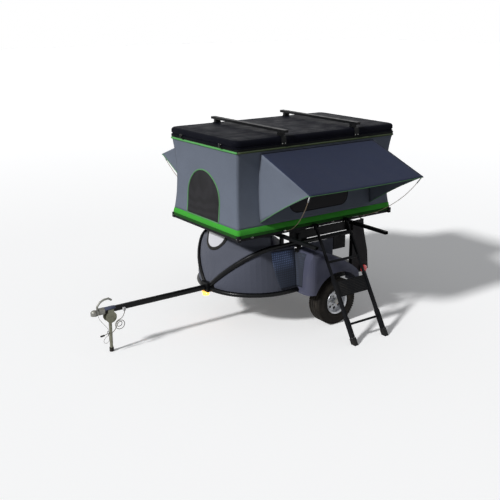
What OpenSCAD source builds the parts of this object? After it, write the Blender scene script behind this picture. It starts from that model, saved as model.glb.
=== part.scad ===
// Camper trailer with a pop-up roof tent, parked on its wheels, its jack leg and its ladder.
// +X points forward to the coupler, +Y to the left side, +Z up, and the ground is at z = 0.

/* [Body] */
// Distance from the middle to the lower rail's centre line
body_half_w = 600; // [580:5:620]
// Place of the bow's centre ahead of the tent's middle
bow_x = 400; // [380:5:420]
// Height of the lower rail's centre line
rail_low_z = 430; // [420:5:440]
// Height of the upper rails' straight run
rail_top_z = 920; // [900:5:930]
// Distance from the middle to the upper rails' straight run
rail_top_y = 535; // [530:1:545]
// Outer diameter of the rail tubes
rail_d = 50; // [44:1:52]
// Wall of the rail tubes
rail_wall = 2.5; // [2:0.5:4]
// Radius of the upper rails at the nose
nose_r = 950; // [930:10:970]
// Radius of the upper rails at the shoulders
shoulder_r = 350; // [330:10:370]
// Thickness of the body's panels
panel_t = 4; // [3:0.5:6]
// Thickness of the floor deck
deck_t = 9; // [6:1:12]
// Height of the chassis box sections
member_h = 40; // [30:2:44]
// Width of the chassis box sections
member_w = 40; // [30:2:44]

/* [Tongue and jack] */
// Outer diameter of the tongue tube
tongue_d = 60; // [54:2:62]
// Wall of the tongue tube
tongue_wall = 4; // [3:0.5:5]
// Height of the tongue's centre line
tongue_z = 443; // [438:1:448]
// Place of the coupler's foremost point
coupler_tip_x = 2350; // [2300:10:2400]
// Diameter of the hitch ball that the coupler takes
ball_d = 50; // [50:1:51]
// Place of the jack leg
jack_x = 2150; // [2140:5:2160]
// Height of the jack's pivot
jack_pivot_z = 372; // [368:1:374]
// Outer diameter of the jack leg
jack_leg_d = 32; // [30:1:36]
// Diameter of the jack's foot
jack_foot_d = 44; // [42:2:50]
// Radius of the jack's swivel plates
jack_plate_r = 58; // [54:1:60]

/* [Wheels] */
// Outer radius of the tyre
tyre_r = 259; // [250:1:264]
// Width of the tyre
tyre_w = 180; // [170:2:184]
// Radius of the rim's flange
rim_r = 139; // [134:1:142]
// Distance from the middle to the tyre's outer face
wheel_face_y = 789; // [785:1:795]
// Place of the axle behind the tent's middle
axle_x = -141; // [-150:1:-132]
// Diameter of the stub axles
stub_d = 30; // [26:1:34]
// Radius of the fender's arch round the wheel's centre
arch_r = 340; // [330:2:344]
// Distance from the middle to the fender's outer face
fender_y = 800; // [796:1:806]

/* [Tent] */
// Length of the lid
lid_l = 2130; // [2100:10:2160]
// Width of the lid
lid_w = 1236; // [1226:2:1250]
// Height of the lid's shell
lid_h = 84; // [76:2:92]
// Radius of the lid's corners seen from above
lid_corner = 60; // [50:5:70]
// Chamfer along the lid's top edge
lid_chamfer = 27; // [20:1:32]
// Wall of the lid's shell
lid_t = 4; // [3:0.5:6]
// Height of the open lid's rim above the ground
lid_rim_z = 1993; // [1960:1:2010]
// Length of the tray under the tent
tray_l = 2076; // [2060:2:2090]
// Width of the tray under the tent
tray_w = 1228; // [1222:2:1236]
// Height of the tray's edge
tray_h = 28; // [26:1:32]
// Thickness of the tray's floor
tray_t = 12; // [8:1:16]
// Thickness of the tent's cloth
cloth_t = 3; // [2:0.5:4]
// Height of the green skirt
skirt_h = 78; // [70:2:90]
// Height of the green band under the lid
band_h = 22; // [18:1:28]
// How far the side walls pull in between the tray and the lid
side_sag = 53; // [40:1:56]
// How far the end walls pull in between the tray and the lid
end_sag = 26; // [20:1:32]
// Reach of the awnings from the middle
awning_reach = 1344; // [1330:2:1360]
// Height of the awnings' outer edge
awning_tip_z = 1644; // [1630:2:1660]
// Half the length of the awnings
awning_half_l = 750; // [740:2:760]
// Diameter of the spring rods
rod_d = 6; // [5:0.5:8]

/* [Rack] */
// Length of the crossbars
crossbar_l = 2180; // [2150:10:2200]
// Height of the crossbars
crossbar_h = 32; // [28:1:34]
// Width of the crossbars
crossbar_w = 40; // [36:1:44]
// Length of the roof bars on the lid
roof_bar_l = 1300; // [1280:10:1340]
// Height of the roof bars
roof_bar_h = 26; // [22:1:30]
// Width of the roof bars
roof_bar_w = 54; // [48:1:60]
// Height of the roof bars' feet
roof_foot_h = 34; // [28:1:40]

/* [Ladder] */
// Distance between the rails' centre lines
ladder_w = 429; // [420:1:440]
// Place of the ladder's middle
ladder_x = -135; // [-150:1:-120]
// Distance from the middle to the ladder's feet
ladder_foot_y = 1312; // [1300:1:1312]
// Width of the lower rails along the trailer
ladder_rail_w = 26; // [24:1:28]
// Width of the upper rails, which slide into the lower ones
ladder_upper_w = 18; // [16:1:20]
// How far down the upper rails end
ladder_split = 560; // [520:10:600]
// Depth of the rails
ladder_rail_t = 40; // [36:1:42]

/* [Hidden] */
$fn = 48;

// Seat between pieces that rest on each other, a butt seam, and a pin's gap in its bore
seat = 0.3;
seam = 0.2;
run_gap = 0.05;

// The frame's origin lies under the middle of the whole trailer
tent_x = -(coupler_tip_x - lid_l / 2) / 2;
nose_x = bow_x + body_half_w;
rail_r = rail_d / 2;
rail_reach = rail_r + seat;

// The upper rails lie in two tilted planes that meet along the nose
rail_rise = rail_top_z - rail_low_z;
rail_tilt = atan2(rail_rise, rail_top_y);
straight_s = norm([rail_top_y, rail_rise]);
shoulder_s = straight_s - shoulder_r;
nose_c = nose_x - nose_r;
shoulder_c = nose_c + sqrt(pow(nose_r - shoulder_r, 2) - pow(shoulder_s, 2));
tangent_a = atan2(shoulder_s, shoulder_c - nose_c);
rail_start_s = 78;
bow_end_x = 170;
panel_start_x = 262.5;
column_front_x = -546;
column_y = 560;
column_depth = 50;

// Chassis heights
member_top = rail_low_z + member_h / 2;
deck_z = member_top + seat;
side_member_y = 505;
member_xs = [200, -390, -780];
rear_x = -800;

// Wheel
wheel_y = wheel_face_y - tyre_w / 2;
wheel_z = tyre_r;
fender_in_y = 546;
fender_front_x = 262;
fender_low_z = 398;
fender_corner = 95;
stub_r = stub_d / 2;
beam_x = -20;
beam_size = 50;
beam_z = rail_low_z - member_h / 2 - seat - beam_size / 2;
beam_half_l = 480;
arm_t = 30;

// Tent heights and half sizes
tray_z = 1100;
tray_top = tray_z + tray_h;
wall_z0 = tray_top + seat;
wall_z1 = lid_rim_z - seat;
wall_half_l = 1036;
wall_half_w = 611;
arch_y = -70;
side_window_x = -35;
mesh_inset = 1;

// Rack
crossbar_xs = [430, -525];
crossbar_z = 1030;
tent_rail_y = 430;
tent_rail_w = 40;

// Coupler
tongue_end_x = coupler_tip_x - 90;
collar_x = tongue_end_x - 46;
collar_wall = 6;
neck_w = 44;
lever_d = 20;

// Jack
jack_gap = tongue_d / 2 + seat;
jack_plate_t = 6;
jack_foot_h = 40;

// Ladder
hinge_y = 668;
hinge_z = 1086;
hinge_pin_r = 6;
ladder_drop = hinge_z;
ladder_run = ladder_foot_y - hinge_y;
ladder_a = atan2(ladder_run, ladder_drop);
ladder_len = norm([ladder_run, ladder_drop]);

module in_frame() {
    translate([tent_x, 0, 0]) children();
}

module both_sides() {
    children();
    mirror([0, 1, 0]) children();
}

module box(size, at) {
    translate(at - size / 2) cube(size);
}

// A tube along an axis given by its turn, from its low end
module pipe(length, outer_d, wall) {
    difference() {
        cylinder(h = length, d = outer_d);
        translate([0, 0, -1]) cylinder(h = length + 2, d = outer_d - 2 * wall);
    }
}

// An arc of tube round +Z, between two angles
module bend(radius, from_a, to_a, outer_d, wall) {
    rotate([0, 0, from_a]) rotate_extrude(angle = to_a - from_a, $fn = 96)
        translate([radius, 0]) difference() {
            circle(d = outer_d, $fn = 32);
            if (wall > 0) circle(d = outer_d - 2 * wall, $fn = 32);
        }
}

// A straight tube running backwards
module run(length, outer_d, wall) {
    if (wall > 0) rotate([0, -90, 0]) pipe(length, outer_d, wall);
    else rotate([0, -90, 0]) cylinder(h = length, d = outer_d);
}

// The path of one lower rail, at any tube size
module lower_rail_form(outer_d, wall) {
    translate([bow_x, 0, rail_low_z]) bend(body_half_w, -90, 90, outer_d, wall);
    both_sides() translate([bow_x, body_half_w, rail_low_z])
        run(bow_x - bow_end_x, outer_d, wall);
}

// The path of one upper rail, at any tube size
module upper_rail_form(outer_d, wall) {
    start_a = asin(rail_start_s / nose_r);
    seam_a = asin(seam / nose_r);
    translate([0, 0, rail_low_z]) rotate([rail_tilt, 0, 0]) {
        translate([nose_c, 0, 0]) bend(nose_r, start_a, tangent_a - seam_a, outer_d, wall);
        translate([shoulder_c, shoulder_s, 0])
            bend(shoulder_r, tangent_a, 90, outer_d, wall);
        translate([shoulder_c - seam, straight_s, 0])
            run(shoulder_c - seam - column_front_x - seat, outer_d, wall);
    }
}

// Round bars from point to point, with a ball at each elbow
module bar_path(points, d) {
    for (i = [0:len(points) - 2]) {
        leg = points[i + 1] - points[i];
        translate(points[i]) rotate([0, acos(leg[2] / norm(leg)), atan2(leg[1], leg[0])])
            cylinder(h = norm(leg), d = d);
        if (i > 0) translate(points[i]) sphere(d = d + 1.5);
    }
}

module lower_rail() {
    color("#151618") in_frame() lower_rail_form(rail_d, rail_wall);
}

module upper_rails() {
    color("#151618") in_frame() both_sides() upper_rail_form(rail_d, rail_wall);
}

module tongue_tube() {
    start_x = nose_x + 46 + seat;
    color("#17181a") in_frame() translate([start_x, 0, tongue_z]) rotate([0, 90, 0])
        pipe(tongue_end_x - start_x, tongue_d, tongue_wall);
}

// The coupler's collar slips over the tongue's end, and its neck carries the ball socket
module coupler_head() {
    socket_x = coupler_tip_x - ball_d / 2 - 9;
    neck_z = tongue_z - 6;
    neck_x = tongue_end_x + collar_wall;
    color("#8b8b84") in_frame() difference() {
        union() {
            translate([socket_x, 0, neck_z - 22]) cylinder(h = 36, r = ball_d / 2 + 9);
            translate([socket_x, 0, neck_z]) sphere(r = ball_d / 2 + 9);
            box([socket_x - neck_x + 6, neck_w, neck_w], [(socket_x + neck_x) / 2, 0, neck_z]);
            translate([collar_x, 0, tongue_z]) rotate([0, 90, 0])
                cylinder(h = neck_x - collar_x, d = tongue_d + 2 * collar_wall);
        }
        translate([collar_x - 1, 0, tongue_z]) rotate([0, 90, 0])
            cylinder(h = tongue_end_x + seat - collar_x + 1, d = tongue_d + 2 * seat);
        translate([socket_x, 0, neck_z]) sphere(d = ball_d + 1);
        translate([socket_x, 0, neck_z - 60]) cylinder(h = 60, d = ball_d + 1);
    }
}

// The latch lever rises from the neck and bends back over the tongue
module coupler_lever() {
    foot_z = tongue_z - 6 + neck_w / 2 + seat;
    color("#8b8b84") in_frame() translate([coupler_tip_x, 0, 0])
        bar_path([[-70, 0, foot_z], [-70, 0, foot_z + 40], [-104, 0, foot_z + 80],
            [-147, 0, foot_z + 98], [-192, 0, foot_z + 101], [-225, 0, foot_z + 78]], lever_d);
}

module nose_bracket() {
    color("#1b1b1d") in_frame() difference() {
        box([92, 120, 100], [nose_x, 0, rail_low_z + 20]);
        lower_rail_form(rail_d + 2 * seat, 0);
        both_sides() upper_rail_form(rail_d + 2 * seat, 0);
        translate([nose_x - 50, 0, rail_low_z]) rotate([0, 90, 0])
            cylinder(h = 18, d = 44);
    }
}

module beam_between(p, q, w, h) {
    d = q - p;
    translate(p) rotate([0, 0, atan2(d[1], d[0])])
        translate([0, -w / 2, -h / 2]) difference() {
            cube([norm(d), w, h]);
            translate([-1, 3, 3]) cube([norm(d) + 2, w - 6, h - 6]);
        }
}

module chassis_members() {
    color("#151618") in_frame() {
        both_sides() beam_between([rear_x, side_member_y, rail_low_z],
            [member_xs[0] - member_w / 2 - seat, side_member_y, rail_low_z], 30, member_h);
        beam_between([member_xs[0], -(body_half_w - rail_reach), rail_low_z],
            [member_xs[0], body_half_w - rail_reach, rail_low_z], member_w, member_h);
        for (x = [member_xs[1], member_xs[2]])
            beam_between([x, -(side_member_y - 15 - seat), rail_low_z],
                [x, side_member_y - 15 - seat, rail_low_z], member_w, member_h);
        beam_between([member_xs[0] + member_w / 2 + seat, 0, rail_low_z],
            [nose_x - 46 - seat, 0, rail_low_z], member_w, member_h);
    }
}

module deck_outline() {
    intersection() {
        translate([bow_x, 0]) circle(r = body_half_w - rail_reach - 1, $fn = 96);
        translate([bow_x, -body_half_w]) square([body_half_w, 2 * body_half_w]);
    }
    translate([bow_end_x, -(body_half_w - rail_reach - 1)])
        square([bow_x - bow_end_x, 2 * (body_half_w - rail_reach - 1)]);
    translate([rear_x, -side_member_y]) square([bow_end_x - rear_x, 2 * side_member_y]);
}

module floor_deck() {
    color("#2b2b2d") in_frame() translate([0, 0, deck_z]) linear_extrude(deck_t)
        difference() {
            deck_outline();
            translate([nose_x - 60, -80]) square([120, 160]);
            both_sides() translate([bow_end_x - 10, fender_in_y - seat])
                square([fender_front_x + seat - bow_end_x + 10, 100]);
        }
}

// Where the rails run, at a place along the trailer
function low_y(x) = x > bow_x ? sqrt(pow(body_half_w, 2) - pow(x - bow_x, 2)) : body_half_w;
function top_s(x) =
    x > nose_c + nose_r * cos(tangent_a) ? sqrt(max(0, pow(nose_r, 2) - pow(x - nose_c, 2))) :
    x > shoulder_c ? shoulder_s + sqrt(pow(shoulder_r, 2) - pow(x - shoulder_c, 2)) : straight_s;
function low_pt(x) = [x, low_y(x), rail_low_z];
function top_pt(x) = [x, top_s(x) * cos(rail_tilt), rail_low_z + top_s(x) * sin(rail_tilt)];
function unit(v) = v / norm(v);
function out_dir(x) = unit([max(0, x - bow_x), low_y(x), 0]);

// A closed skin between two grids of points, row by row: seen from its front face the columns
// run to the right as the rows go up
module skin(front, back) {
    rows = len(front);
    cols = len(front[0]);
    count = rows * cols;
    points = concat([for (row = front) each row], [for (row = back) each row]);
    function id(side, r, c) = side * count + r * cols + c;
    faces = concat(
        [for (r = [0:rows - 2], c = [0:cols - 2])
            [id(0, r, c), id(0, r, c + 1), id(0, r + 1, c + 1)]],
        [for (r = [0:rows - 2], c = [0:cols - 2])
            [id(0, r, c), id(0, r + 1, c + 1), id(0, r + 1, c)]],
        [for (r = [0:rows - 2], c = [0:cols - 2])
            [id(1, r, c), id(1, r + 1, c + 1), id(1, r, c + 1)]],
        [for (r = [0:rows - 2], c = [0:cols - 2])
            [id(1, r, c), id(1, r + 1, c), id(1, r + 1, c + 1)]],
        [for (r = [0:rows - 2]) [id(0, r, 0), id(0, r + 1, 0), id(1, r + 1, 0)]],
        [for (r = [0:rows - 2]) [id(0, r, 0), id(1, r + 1, 0), id(1, r, 0)]],
        [for (r = [0:rows - 2])
            [id(0, r, cols - 1), id(1, r + 1, cols - 1), id(0, r + 1, cols - 1)]],
        [for (r = [0:rows - 2])
            [id(0, r, cols - 1), id(1, r, cols - 1), id(1, r + 1, cols - 1)]],
        [for (c = [0:cols - 2]) [id(0, 0, c), id(1, 0, c + 1), id(0, 0, c + 1)]],
        [for (c = [0:cols - 2]) [id(0, 0, c), id(1, 0, c), id(1, 0, c + 1)]],
        [for (c = [0:cols - 2])
            [id(0, rows - 1, c), id(0, rows - 1, c + 1), id(1, rows - 1, c + 1)]],
        [for (c = [0:cols - 2])
            [id(0, rows - 1, c), id(1, rows - 1, c + 1), id(1, rows - 1, c)]]);
    polyhedron(points, faces);
}

// Stations of the side panel from the fender to the nose
panel_n = 18;
panel_nose_x = nose_x - 12;
function panel_x(i) = panel_start_x
    + (panel_nose_x - panel_start_x) * sin(90 * i / panel_n);
panel_rows = 5;
panel_bulge = 10;
function clear_of_top(x, d) =
    let (k = unit(top_pt(x + 1) - top_pt(x - 1)) * d) (rail_reach + 1.4) / sqrt(1 - k * k);
function panel_pt(x, t, depth) =
    let (b = low_pt(x), u = top_pt(x), d = unit(u - b),
        p = b + d * rail_reach, q = u - d * clear_of_top(x, d))
    p + (q - p) * t + out_dir(x) * (panel_bulge * 4 * t * (1 - t) - depth);

module side_panels() {
    color("#4b4f5a") in_frame() both_sides()
        skin([for (i = [0:panel_n]) [for (j = [0:panel_rows])
                panel_pt(panel_x(i), j / panel_rows, panel_t)]],
            [for (i = [0:panel_n]) [for (j = [0:panel_rows])
                panel_pt(panel_x(i), j / panel_rows, 0)]]);
}

// The nose panel spans the upper rails, level by level, and rises to the tray
nose_top_z = 1034;
nose_back_x = 560;
level_n = 8;
level_rise = 3;
arc_n = 16;
level_s0 = 130;
function level_rail_x(s) = s < shoulder_s + (nose_r * sin(tangent_a) - shoulder_s)
    ? nose_c + sqrt(pow(nose_r, 2) - pow(s, 2))
    : shoulder_c + sqrt(max(0, pow(shoulder_r, 2) - pow(s - shoulder_s, 2)));
last_s = top_s(nose_back_x);
function level_edge(j) =
    let (s = level_s0 + (last_s - level_s0) * min(1, j / level_n))
    [level_rail_x(s), s * cos(rail_tilt) - rail_reach * sin(rail_tilt),
        rail_low_z + s * sin(rail_tilt) + rail_reach * cos(rail_tilt)
        + max(0, j - level_n) / level_rise
        * (nose_top_z - rail_low_z - last_s * sin(rail_tilt) - rail_reach * cos(rail_tilt))];
function level_front(z) = nose_x - 100 * pow((z - rail_low_z) / 570, 2);
function level_pt(j, i, depth) =
    let (e = level_edge(j), a = 180 * i / arc_n - 90, f = level_front(e[2]))
    [e[0] + (f - e[0]) * cos(a) - depth * cos(a) - 0.001 * depth, (e[1] - depth) * sin(a), e[2]];

module nose_skin(depth, thick) {
    skin([for (j = [0:level_n + level_rise]) [for (i = [0:arc_n])
            level_pt(j, i, depth + thick)]],
        [for (j = [0:level_n + level_rise]) [for (i = [0:arc_n]) level_pt(j, i, depth)]]);
}

window_r = 137;
window_c_z = 1010;
module window_outline(inset) {
    intersection() {
        translate([0, window_c_z]) circle(r = window_r - inset);
        translate([-window_r, window_c_z - window_r])
            square([2 * window_r, window_r + 12 - inset]);
    }
}

module window_prism(inset) {
    translate([nose_x - 300, 0, 0]) rotate([90, 0, 90]) linear_extrude(400)
        window_outline(inset);
}

module nose_panel() {
    color("#60646e") in_frame() difference() {
        nose_skin(0, panel_t);
        window_prism(0);
    }
}

module nose_window() {
    color("#b9bcc0") in_frame() intersection() {
        nose_skin(0.5, panel_t - 1);
        window_prism(seat);
    }
}

// The inner panels close the body beside the wheels
module quarter_panels() {
    top = rail_top_z - rail_r - seat;
    color("#4b4f5a") in_frame() both_sides()
        translate([-270, fender_in_y - seat - panel_t, member_top + 6])
        cube([bow_end_x - 6 + 270, panel_t, top - member_top - 6]);
}

// An outline moved inwards edge by edge: its open edges move out instead
function moved_corner(a, b, c, d1, d2) =
    let (e1 = unit(b - a), e2 = unit(c - b), n1 = [-e1[1], e1[0]], n2 = [-e2[1], e2[0]],
        k = n1 * n2)
    b + (d1 * (n1 - k * n2) + d2 * (n2 - k * n1)) / (1 - k * k);
function moved_outline(p, open, d) =
    let (n = len(p), by = [for (i = [0:n - 1]) d == 0 ? 0 : len(search(i, open)) > 0 ? -1 : d])
    [for (i = [0:n - 1]) moved_corner(p[(i + n - 1) % n], p[i], p[(i + 1) % n],
        by[(i + n - 1) % n], by[i])];

// The fender's three outlines, each anticlockwise
fender_side = [[-470, fender_low_z], [fender_front_x, fender_low_z], [255, 620], [237, 765],
    [205, 846], [150, 864], [60, 842], [-61, 795], [-205, 719], [-320, 648], [-400, 585],
    [-448, 520], [-470, 450]];
fender_end = [[fender_in_y, 300], [fender_y, 300], [fender_y, 805], [782, 838], [735, 860],
    [650, 876], [fender_in_y, 884]];
fender_plan = concat([[-500, fender_in_y], [fender_front_x, fender_in_y]],
    [for (a = [0:15:90]) [fender_front_x - fender_corner * (1 - cos(a)),
        fender_y - fender_corner * (1 - sin(a))]],
    [[-420, fender_y], [-478, 765], [-500, 700]]);

// The fender is the common part of its side, end and plan outlines, hollow from inside
module fender_form(inset) {
    intersection() {
        translate([0, 900, 0]) rotate([90, 0, 0]) linear_extrude(400)
            polygon(moved_outline(fender_side, [0], inset));
        translate([-700, 0, 0]) rotate([90, 0, 90]) linear_extrude(1200)
            polygon(moved_outline(fender_end, [0, 6], inset));
        linear_extrude(1200) polygon(moved_outline(fender_plan, [0], inset));
    }
}

module fenders() {
    color("#54566a") in_frame() both_sides() difference() {
        fender_form(0);
        fender_form(panel_t);
        translate([axle_x, 500, wheel_z]) rotate([-90, 0, 0]) cylinder(h = 400, r = arch_r);
        translate([bow_x, body_half_w, rail_low_z]) run(bow_x - bow_end_x, rail_d + 2 * seat, 0);
    }
}

module side_boxes() {
    top = rail_top_z - rail_r - seat;
    color("#141416") in_frame() both_sides() translate([-372, 480, top - 70])
        box([170, 116, 140], [0, 0, 0]);
}

module rear_columns() {
    top = 1046;
    module outline(inset) {
        polygon([[column_front_x - inset, member_top + seat + 0],
            [column_front_x - inset, top], [-700 + inset, top],
            [-712 + inset, 915], [-778 + inset, 665],
            [rear_x + inset, member_top + seat]]);
    }
    color("#2d2a2c") in_frame() both_sides() translate([0, column_y, 0])
        rotate([90, 0, 0]) difference() {
            linear_extrude(column_depth) outline(0);
            translate([0, 0, panel_t]) linear_extrude(column_depth) outline(panel_t);
        }
}

module axle() {
    color("#232323") in_frame() {
        beam_between([beam_x, -beam_half_l, beam_z], [beam_x, beam_half_l, beam_z],
            beam_size, beam_size);
        both_sides() {
            for (p = [[beam_x, beam_z, beam_size / 2], [axle_x, wheel_z, 34]])
                translate([p[0], beam_half_l, p[1]]) rotate([-90, 0, 0])
                    cylinder(h = arm_t, r = p[2]);
            translate([beam_x, beam_half_l, beam_z])
                rotate([0, -atan2(wheel_z - beam_z, axle_x - beam_x), 0])
                translate([0, 0, -beam_size / 2])
                cube([norm([axle_x - beam_x, wheel_z - beam_z]), arm_t, beam_size]);
            translate([axle_x, beam_half_l, wheel_z]) rotate([-90, 0, 0])
                cylinder(h = wheel_y + 40 - beam_half_l, r = stub_r);
        }
    }
}

// Tyre section: half widths by radius
module tyre_section() {
    shoulder = 26;
    half = tyre_w / 2;
    bead_r = rim_r - 11;
    polygon(concat(
        [[bead_r, -half + 16], [rim_r + 3, -half + 8], [rim_r + 45, -half]],
        [for (a = [-90:15:0]) [tyre_r - shoulder + shoulder * cos(a),
            -half + shoulder + 6 + (shoulder + 6) * sin(a)]],
        [for (a = [0:15:90]) [tyre_r - shoulder + shoulder * cos(a),
            half - shoulder - 6 + (shoulder + 6) * sin(a)]],
        [[rim_r + 45, half], [rim_r + 3, half - 8], [bead_r, half - 16]]));
}

module wheel_place() {
    in_frame() translate([axle_x, wheel_y, wheel_z]) rotate([-90, 0, 0]) children();
}

module tyre() {
    color("#23211f") wheel_place() rotate_extrude($fn = 96) tyre_section();
}

module rim() {
    half = tyre_w / 2;
    barrel_r = rim_r - 11 - seat;
    dish_z = 34;
    color("#c9cbcc") wheel_place() difference() {
        union() {
            rotate_extrude($fn = 96) polygon([
                [barrel_r - 5, -half + 14], [barrel_r, -half + 14], [barrel_r, half - 16],
                [rim_r, half - 6], [rim_r - 2, half - 1], [barrel_r - 6, half - 12],
                [barrel_r - 5, half - 20]]);
            translate([0, 0, dish_z]) cylinder(h = 6, r = barrel_r - 2);
            translate([0, 0, -60]) cylinder(h = 102 + dish_z, r = 34);
        }
        for (k = [0:7]) rotate([0, 0, 45 * k]) translate([84, 0, dish_z - 1])
            cylinder(h = 8, r = 17);
        translate([0, 0, -61]) cylinder(h = 102, r = stub_r + run_gap);
    }
}

module tyre_left() { tyre(); }
module rim_left() { rim(); }
module tyre_right() { mirror([0, 1, 0]) tyre(); }
module rim_right() { mirror([0, 1, 0]) rim(); }

// The plates hang beside the tongue and reach up to its middle
module jack_bracket() {
    pivot_drop = jack_pivot_z - tongue_z - 8;
    color("#77786a") in_frame() {
        both_sides() translate([jack_x, jack_gap, jack_pivot_z]) rotate([-90, 0, 0])
            difference() {
                union() {
                    cylinder(h = jack_plate_t, r = jack_plate_r);
                    translate([-32, pivot_drop, 0]) cube([64, -pivot_drop, jack_plate_t]);
                }
                translate([0, 0, -1]) cylinder(h = jack_plate_t + 2, r = 8 + run_gap);
            }
    }
}

module jack_leg() {
    color("#6f7062") in_frame() {
        translate([jack_x, 0, jack_foot_h + seat])
            cylinder(h = jack_pivot_z - jack_foot_h - seat, d = jack_leg_d);
        translate([jack_x, -jack_gap + 0.5, jack_pivot_z]) rotate([-90, 0, 0])
            cylinder(h = 2 * jack_gap - 1, d = jack_leg_d);
        translate([jack_x, -jack_gap - jack_plate_t - 3, jack_pivot_z]) rotate([-90, 0, 0])
            cylinder(h = 2 * (jack_gap + jack_plate_t + 3), r = 8);
    }
}

module jack_foot() {
    color("#151515") in_frame() translate([jack_x, 0, 0])
        cylinder(h = jack_foot_h, d = jack_foot_d);
}

// The posts carry the crossbars, and a plate inside them closes the side of the rack
module rack_posts() {
    bottom = rail_top_z + rail_r + seat;
    plate_top = crossbar_z + crossbar_h / 2;
    plate_x0 = crossbar_xs[1] + crossbar_w / 2 + seat;
    plate_x1 = 280;
    plate_y = rail_top_y - 15 - seat - panel_t / 2;
    color("#151618") in_frame() both_sides() {
        for (x = [crossbar_xs[0], crossbar_xs[1] + 30, 200])
            box([36, 30, crossbar_z - crossbar_h / 2 - seat - bottom],
                [x, rail_top_y, (crossbar_z - crossbar_h / 2 - seat + bottom) / 2]);
        box([plate_x1 - plate_x0, panel_t, plate_top - bottom],
            [(plate_x0 + plate_x1) / 2, plate_y, (plate_top + bottom) / 2]);
    }
}

module crossbars() {
    color("#111214") in_frame() for (x = crossbar_xs)
        difference() {
            box([crossbar_w, crossbar_l, crossbar_h], [x, 0, crossbar_z]);
            box([crossbar_w - 5, crossbar_l + 2, crossbar_h - 5], [x, 0, crossbar_z]);
        }
}

module tent_rails() {
    bottom = crossbar_z + crossbar_h / 2 + seat;
    height = tray_z - seat - bottom;
    color("#111214") in_frame() both_sides() difference() {
        box([1900, tent_rail_w, height], [0, tent_rail_y, bottom + height / 2]);
        box([1902, tent_rail_w - 6, height - 6], [0, tent_rail_y, bottom + height / 2]);
    }
}

module tent_tray() {
    edge = 46;
    color("#1a1b1d") in_frame() difference() {
        box([tray_l, tray_w, tray_h], [0, 0, tray_z + tray_h / 2]);
        box([tray_l - 2 * edge, tray_w - 2 * edge, tray_h],
            [0, 0, tray_z + tray_t + tray_h / 2]);
    }
}

// The walls pull in between the tray and the lid
wall_n = 8;
function wall_in(z, sag) = let (t = (z - wall_z0) / (wall_z1 - wall_z0)) sag * 4 * t * (1 - t);
module wall_profile(half, sag) {
    zs = [for (i = [0:wall_n]) wall_z0 + (wall_z1 - wall_z0) * i / wall_n];
    polygon(concat([for (z = zs) [half - wall_in(z, sag), z]],
        [for (i = [wall_n:-1:0]) [-half + wall_in(zs[i], sag), zs[i]]]));
}

module tent_form(inset) {
    intersection() {
        translate([0, lid_w, 0]) rotate([90, 0, 0]) linear_extrude(2 * lid_w)
            wall_profile(wall_half_l - inset, end_sag);
        translate([-lid_l, 0, 0]) rotate([90, 0, 90]) linear_extrude(2 * lid_l)
            wall_profile(wall_half_w - inset, side_sag);
    }
}

module tent_slice(z0, z1, depth, thick) {
    intersection() {
        difference() {
            tent_form(depth);
            tent_form(depth + thick);
        }
        translate([-lid_l, -lid_w, z0]) cube([2 * lid_l, 2 * lid_w, z1 - z0]);
    }
}

// Windows: an arch at each end, a wide one with round lower corners on each side
module arch_outline(inset) {
    half = 300;
    spring_z = 1412;
    low = wall_z0 + skirt_h - 5;
    translate([arch_y, 0]) {
        translate([0, spring_z]) circle(r = half - inset);
        translate([-half + inset, low]) square([2 * (half - inset), spring_z - low]);
    }
}

module side_outline(inset) {
    half = 400;
    corner = 110;
    low = 1265;
    translate([side_window_x, 0]) {
        for (s = [-1, 1]) translate([s * (half - corner), low + corner])
            circle(r = corner - inset);
        translate([-half + corner, low + inset]) square([2 * (half - corner), corner]);
        translate([-half + inset, low + corner])
            square([2 * (half - inset), 560 - corner - inset]);
    }
}

module tent_window_prisms(inset) {
    translate([-lid_l, 0, 0]) rotate([90, 0, 90]) linear_extrude(2 * lid_l)
        arch_outline(inset);
    translate([0, lid_w, 0]) rotate([90, 0, 0]) linear_extrude(2 * lid_w)
        side_outline(inset);
}

module tent_skirt() {
    color("#3f9a38") in_frame() tent_slice(wall_z0, wall_z0 + skirt_h, 0, cloth_t);
}

module tent_walls() {
    color("#61687a") in_frame() difference() {
        tent_slice(wall_z0 + skirt_h, wall_z1 - band_h, 0, cloth_t);
        tent_window_prisms(0);
    }
}

module tent_band() {
    color("#4f9a4a") in_frame() tent_slice(wall_z1 - band_h, wall_z1, 0, cloth_t);
}

module tent_windows() {
    color("#2b2a2d") in_frame() intersection() {
        tent_slice(wall_z0 + skirt_h, wall_z1 - band_h, mesh_inset, cloth_t - 2 * mesh_inset);
        tent_window_prisms(seat);
    }
}

// Each awning is a sloping sheet with a gusset at both ends
awning_top_z = 1905;
gusset_low_z = 1235;
awning_sheet = 3;
module awning() {
    wall_y = wall_half_w - wall_in(awning_top_z, side_sag) + 1.5;
    fall = atan2(awning_top_z - awning_tip_z, awning_reach - wall_y);
    slope = norm([awning_reach - wall_y, awning_top_z - awning_tip_z]);
    n = 8;
    color("#2e3446") in_frame() {
        translate([-awning_half_l, wall_y, awning_top_z]) rotate([-fall, 0, 0])
            translate([0, 0, -awning_sheet]) cube([2 * awning_half_l, slope, awning_sheet]);
        for (x = [-awning_half_l, awning_half_l - awning_sheet])
            translate([x, 0, 0]) rotate([90, 0, 90]) linear_extrude(awning_sheet)
                polygon(concat([[awning_reach, awning_tip_z]],
                    [for (i = [0:n]) let (z = awning_top_z
                            + (gusset_low_z - awning_top_z) * i / n)
                        [wall_half_w - wall_in(z, side_sag) + 1.5, z]]));
    }
}

module awning_left() { awning(); }
module awning_right() { mirror([0, 1, 0]) awning(); }

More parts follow.
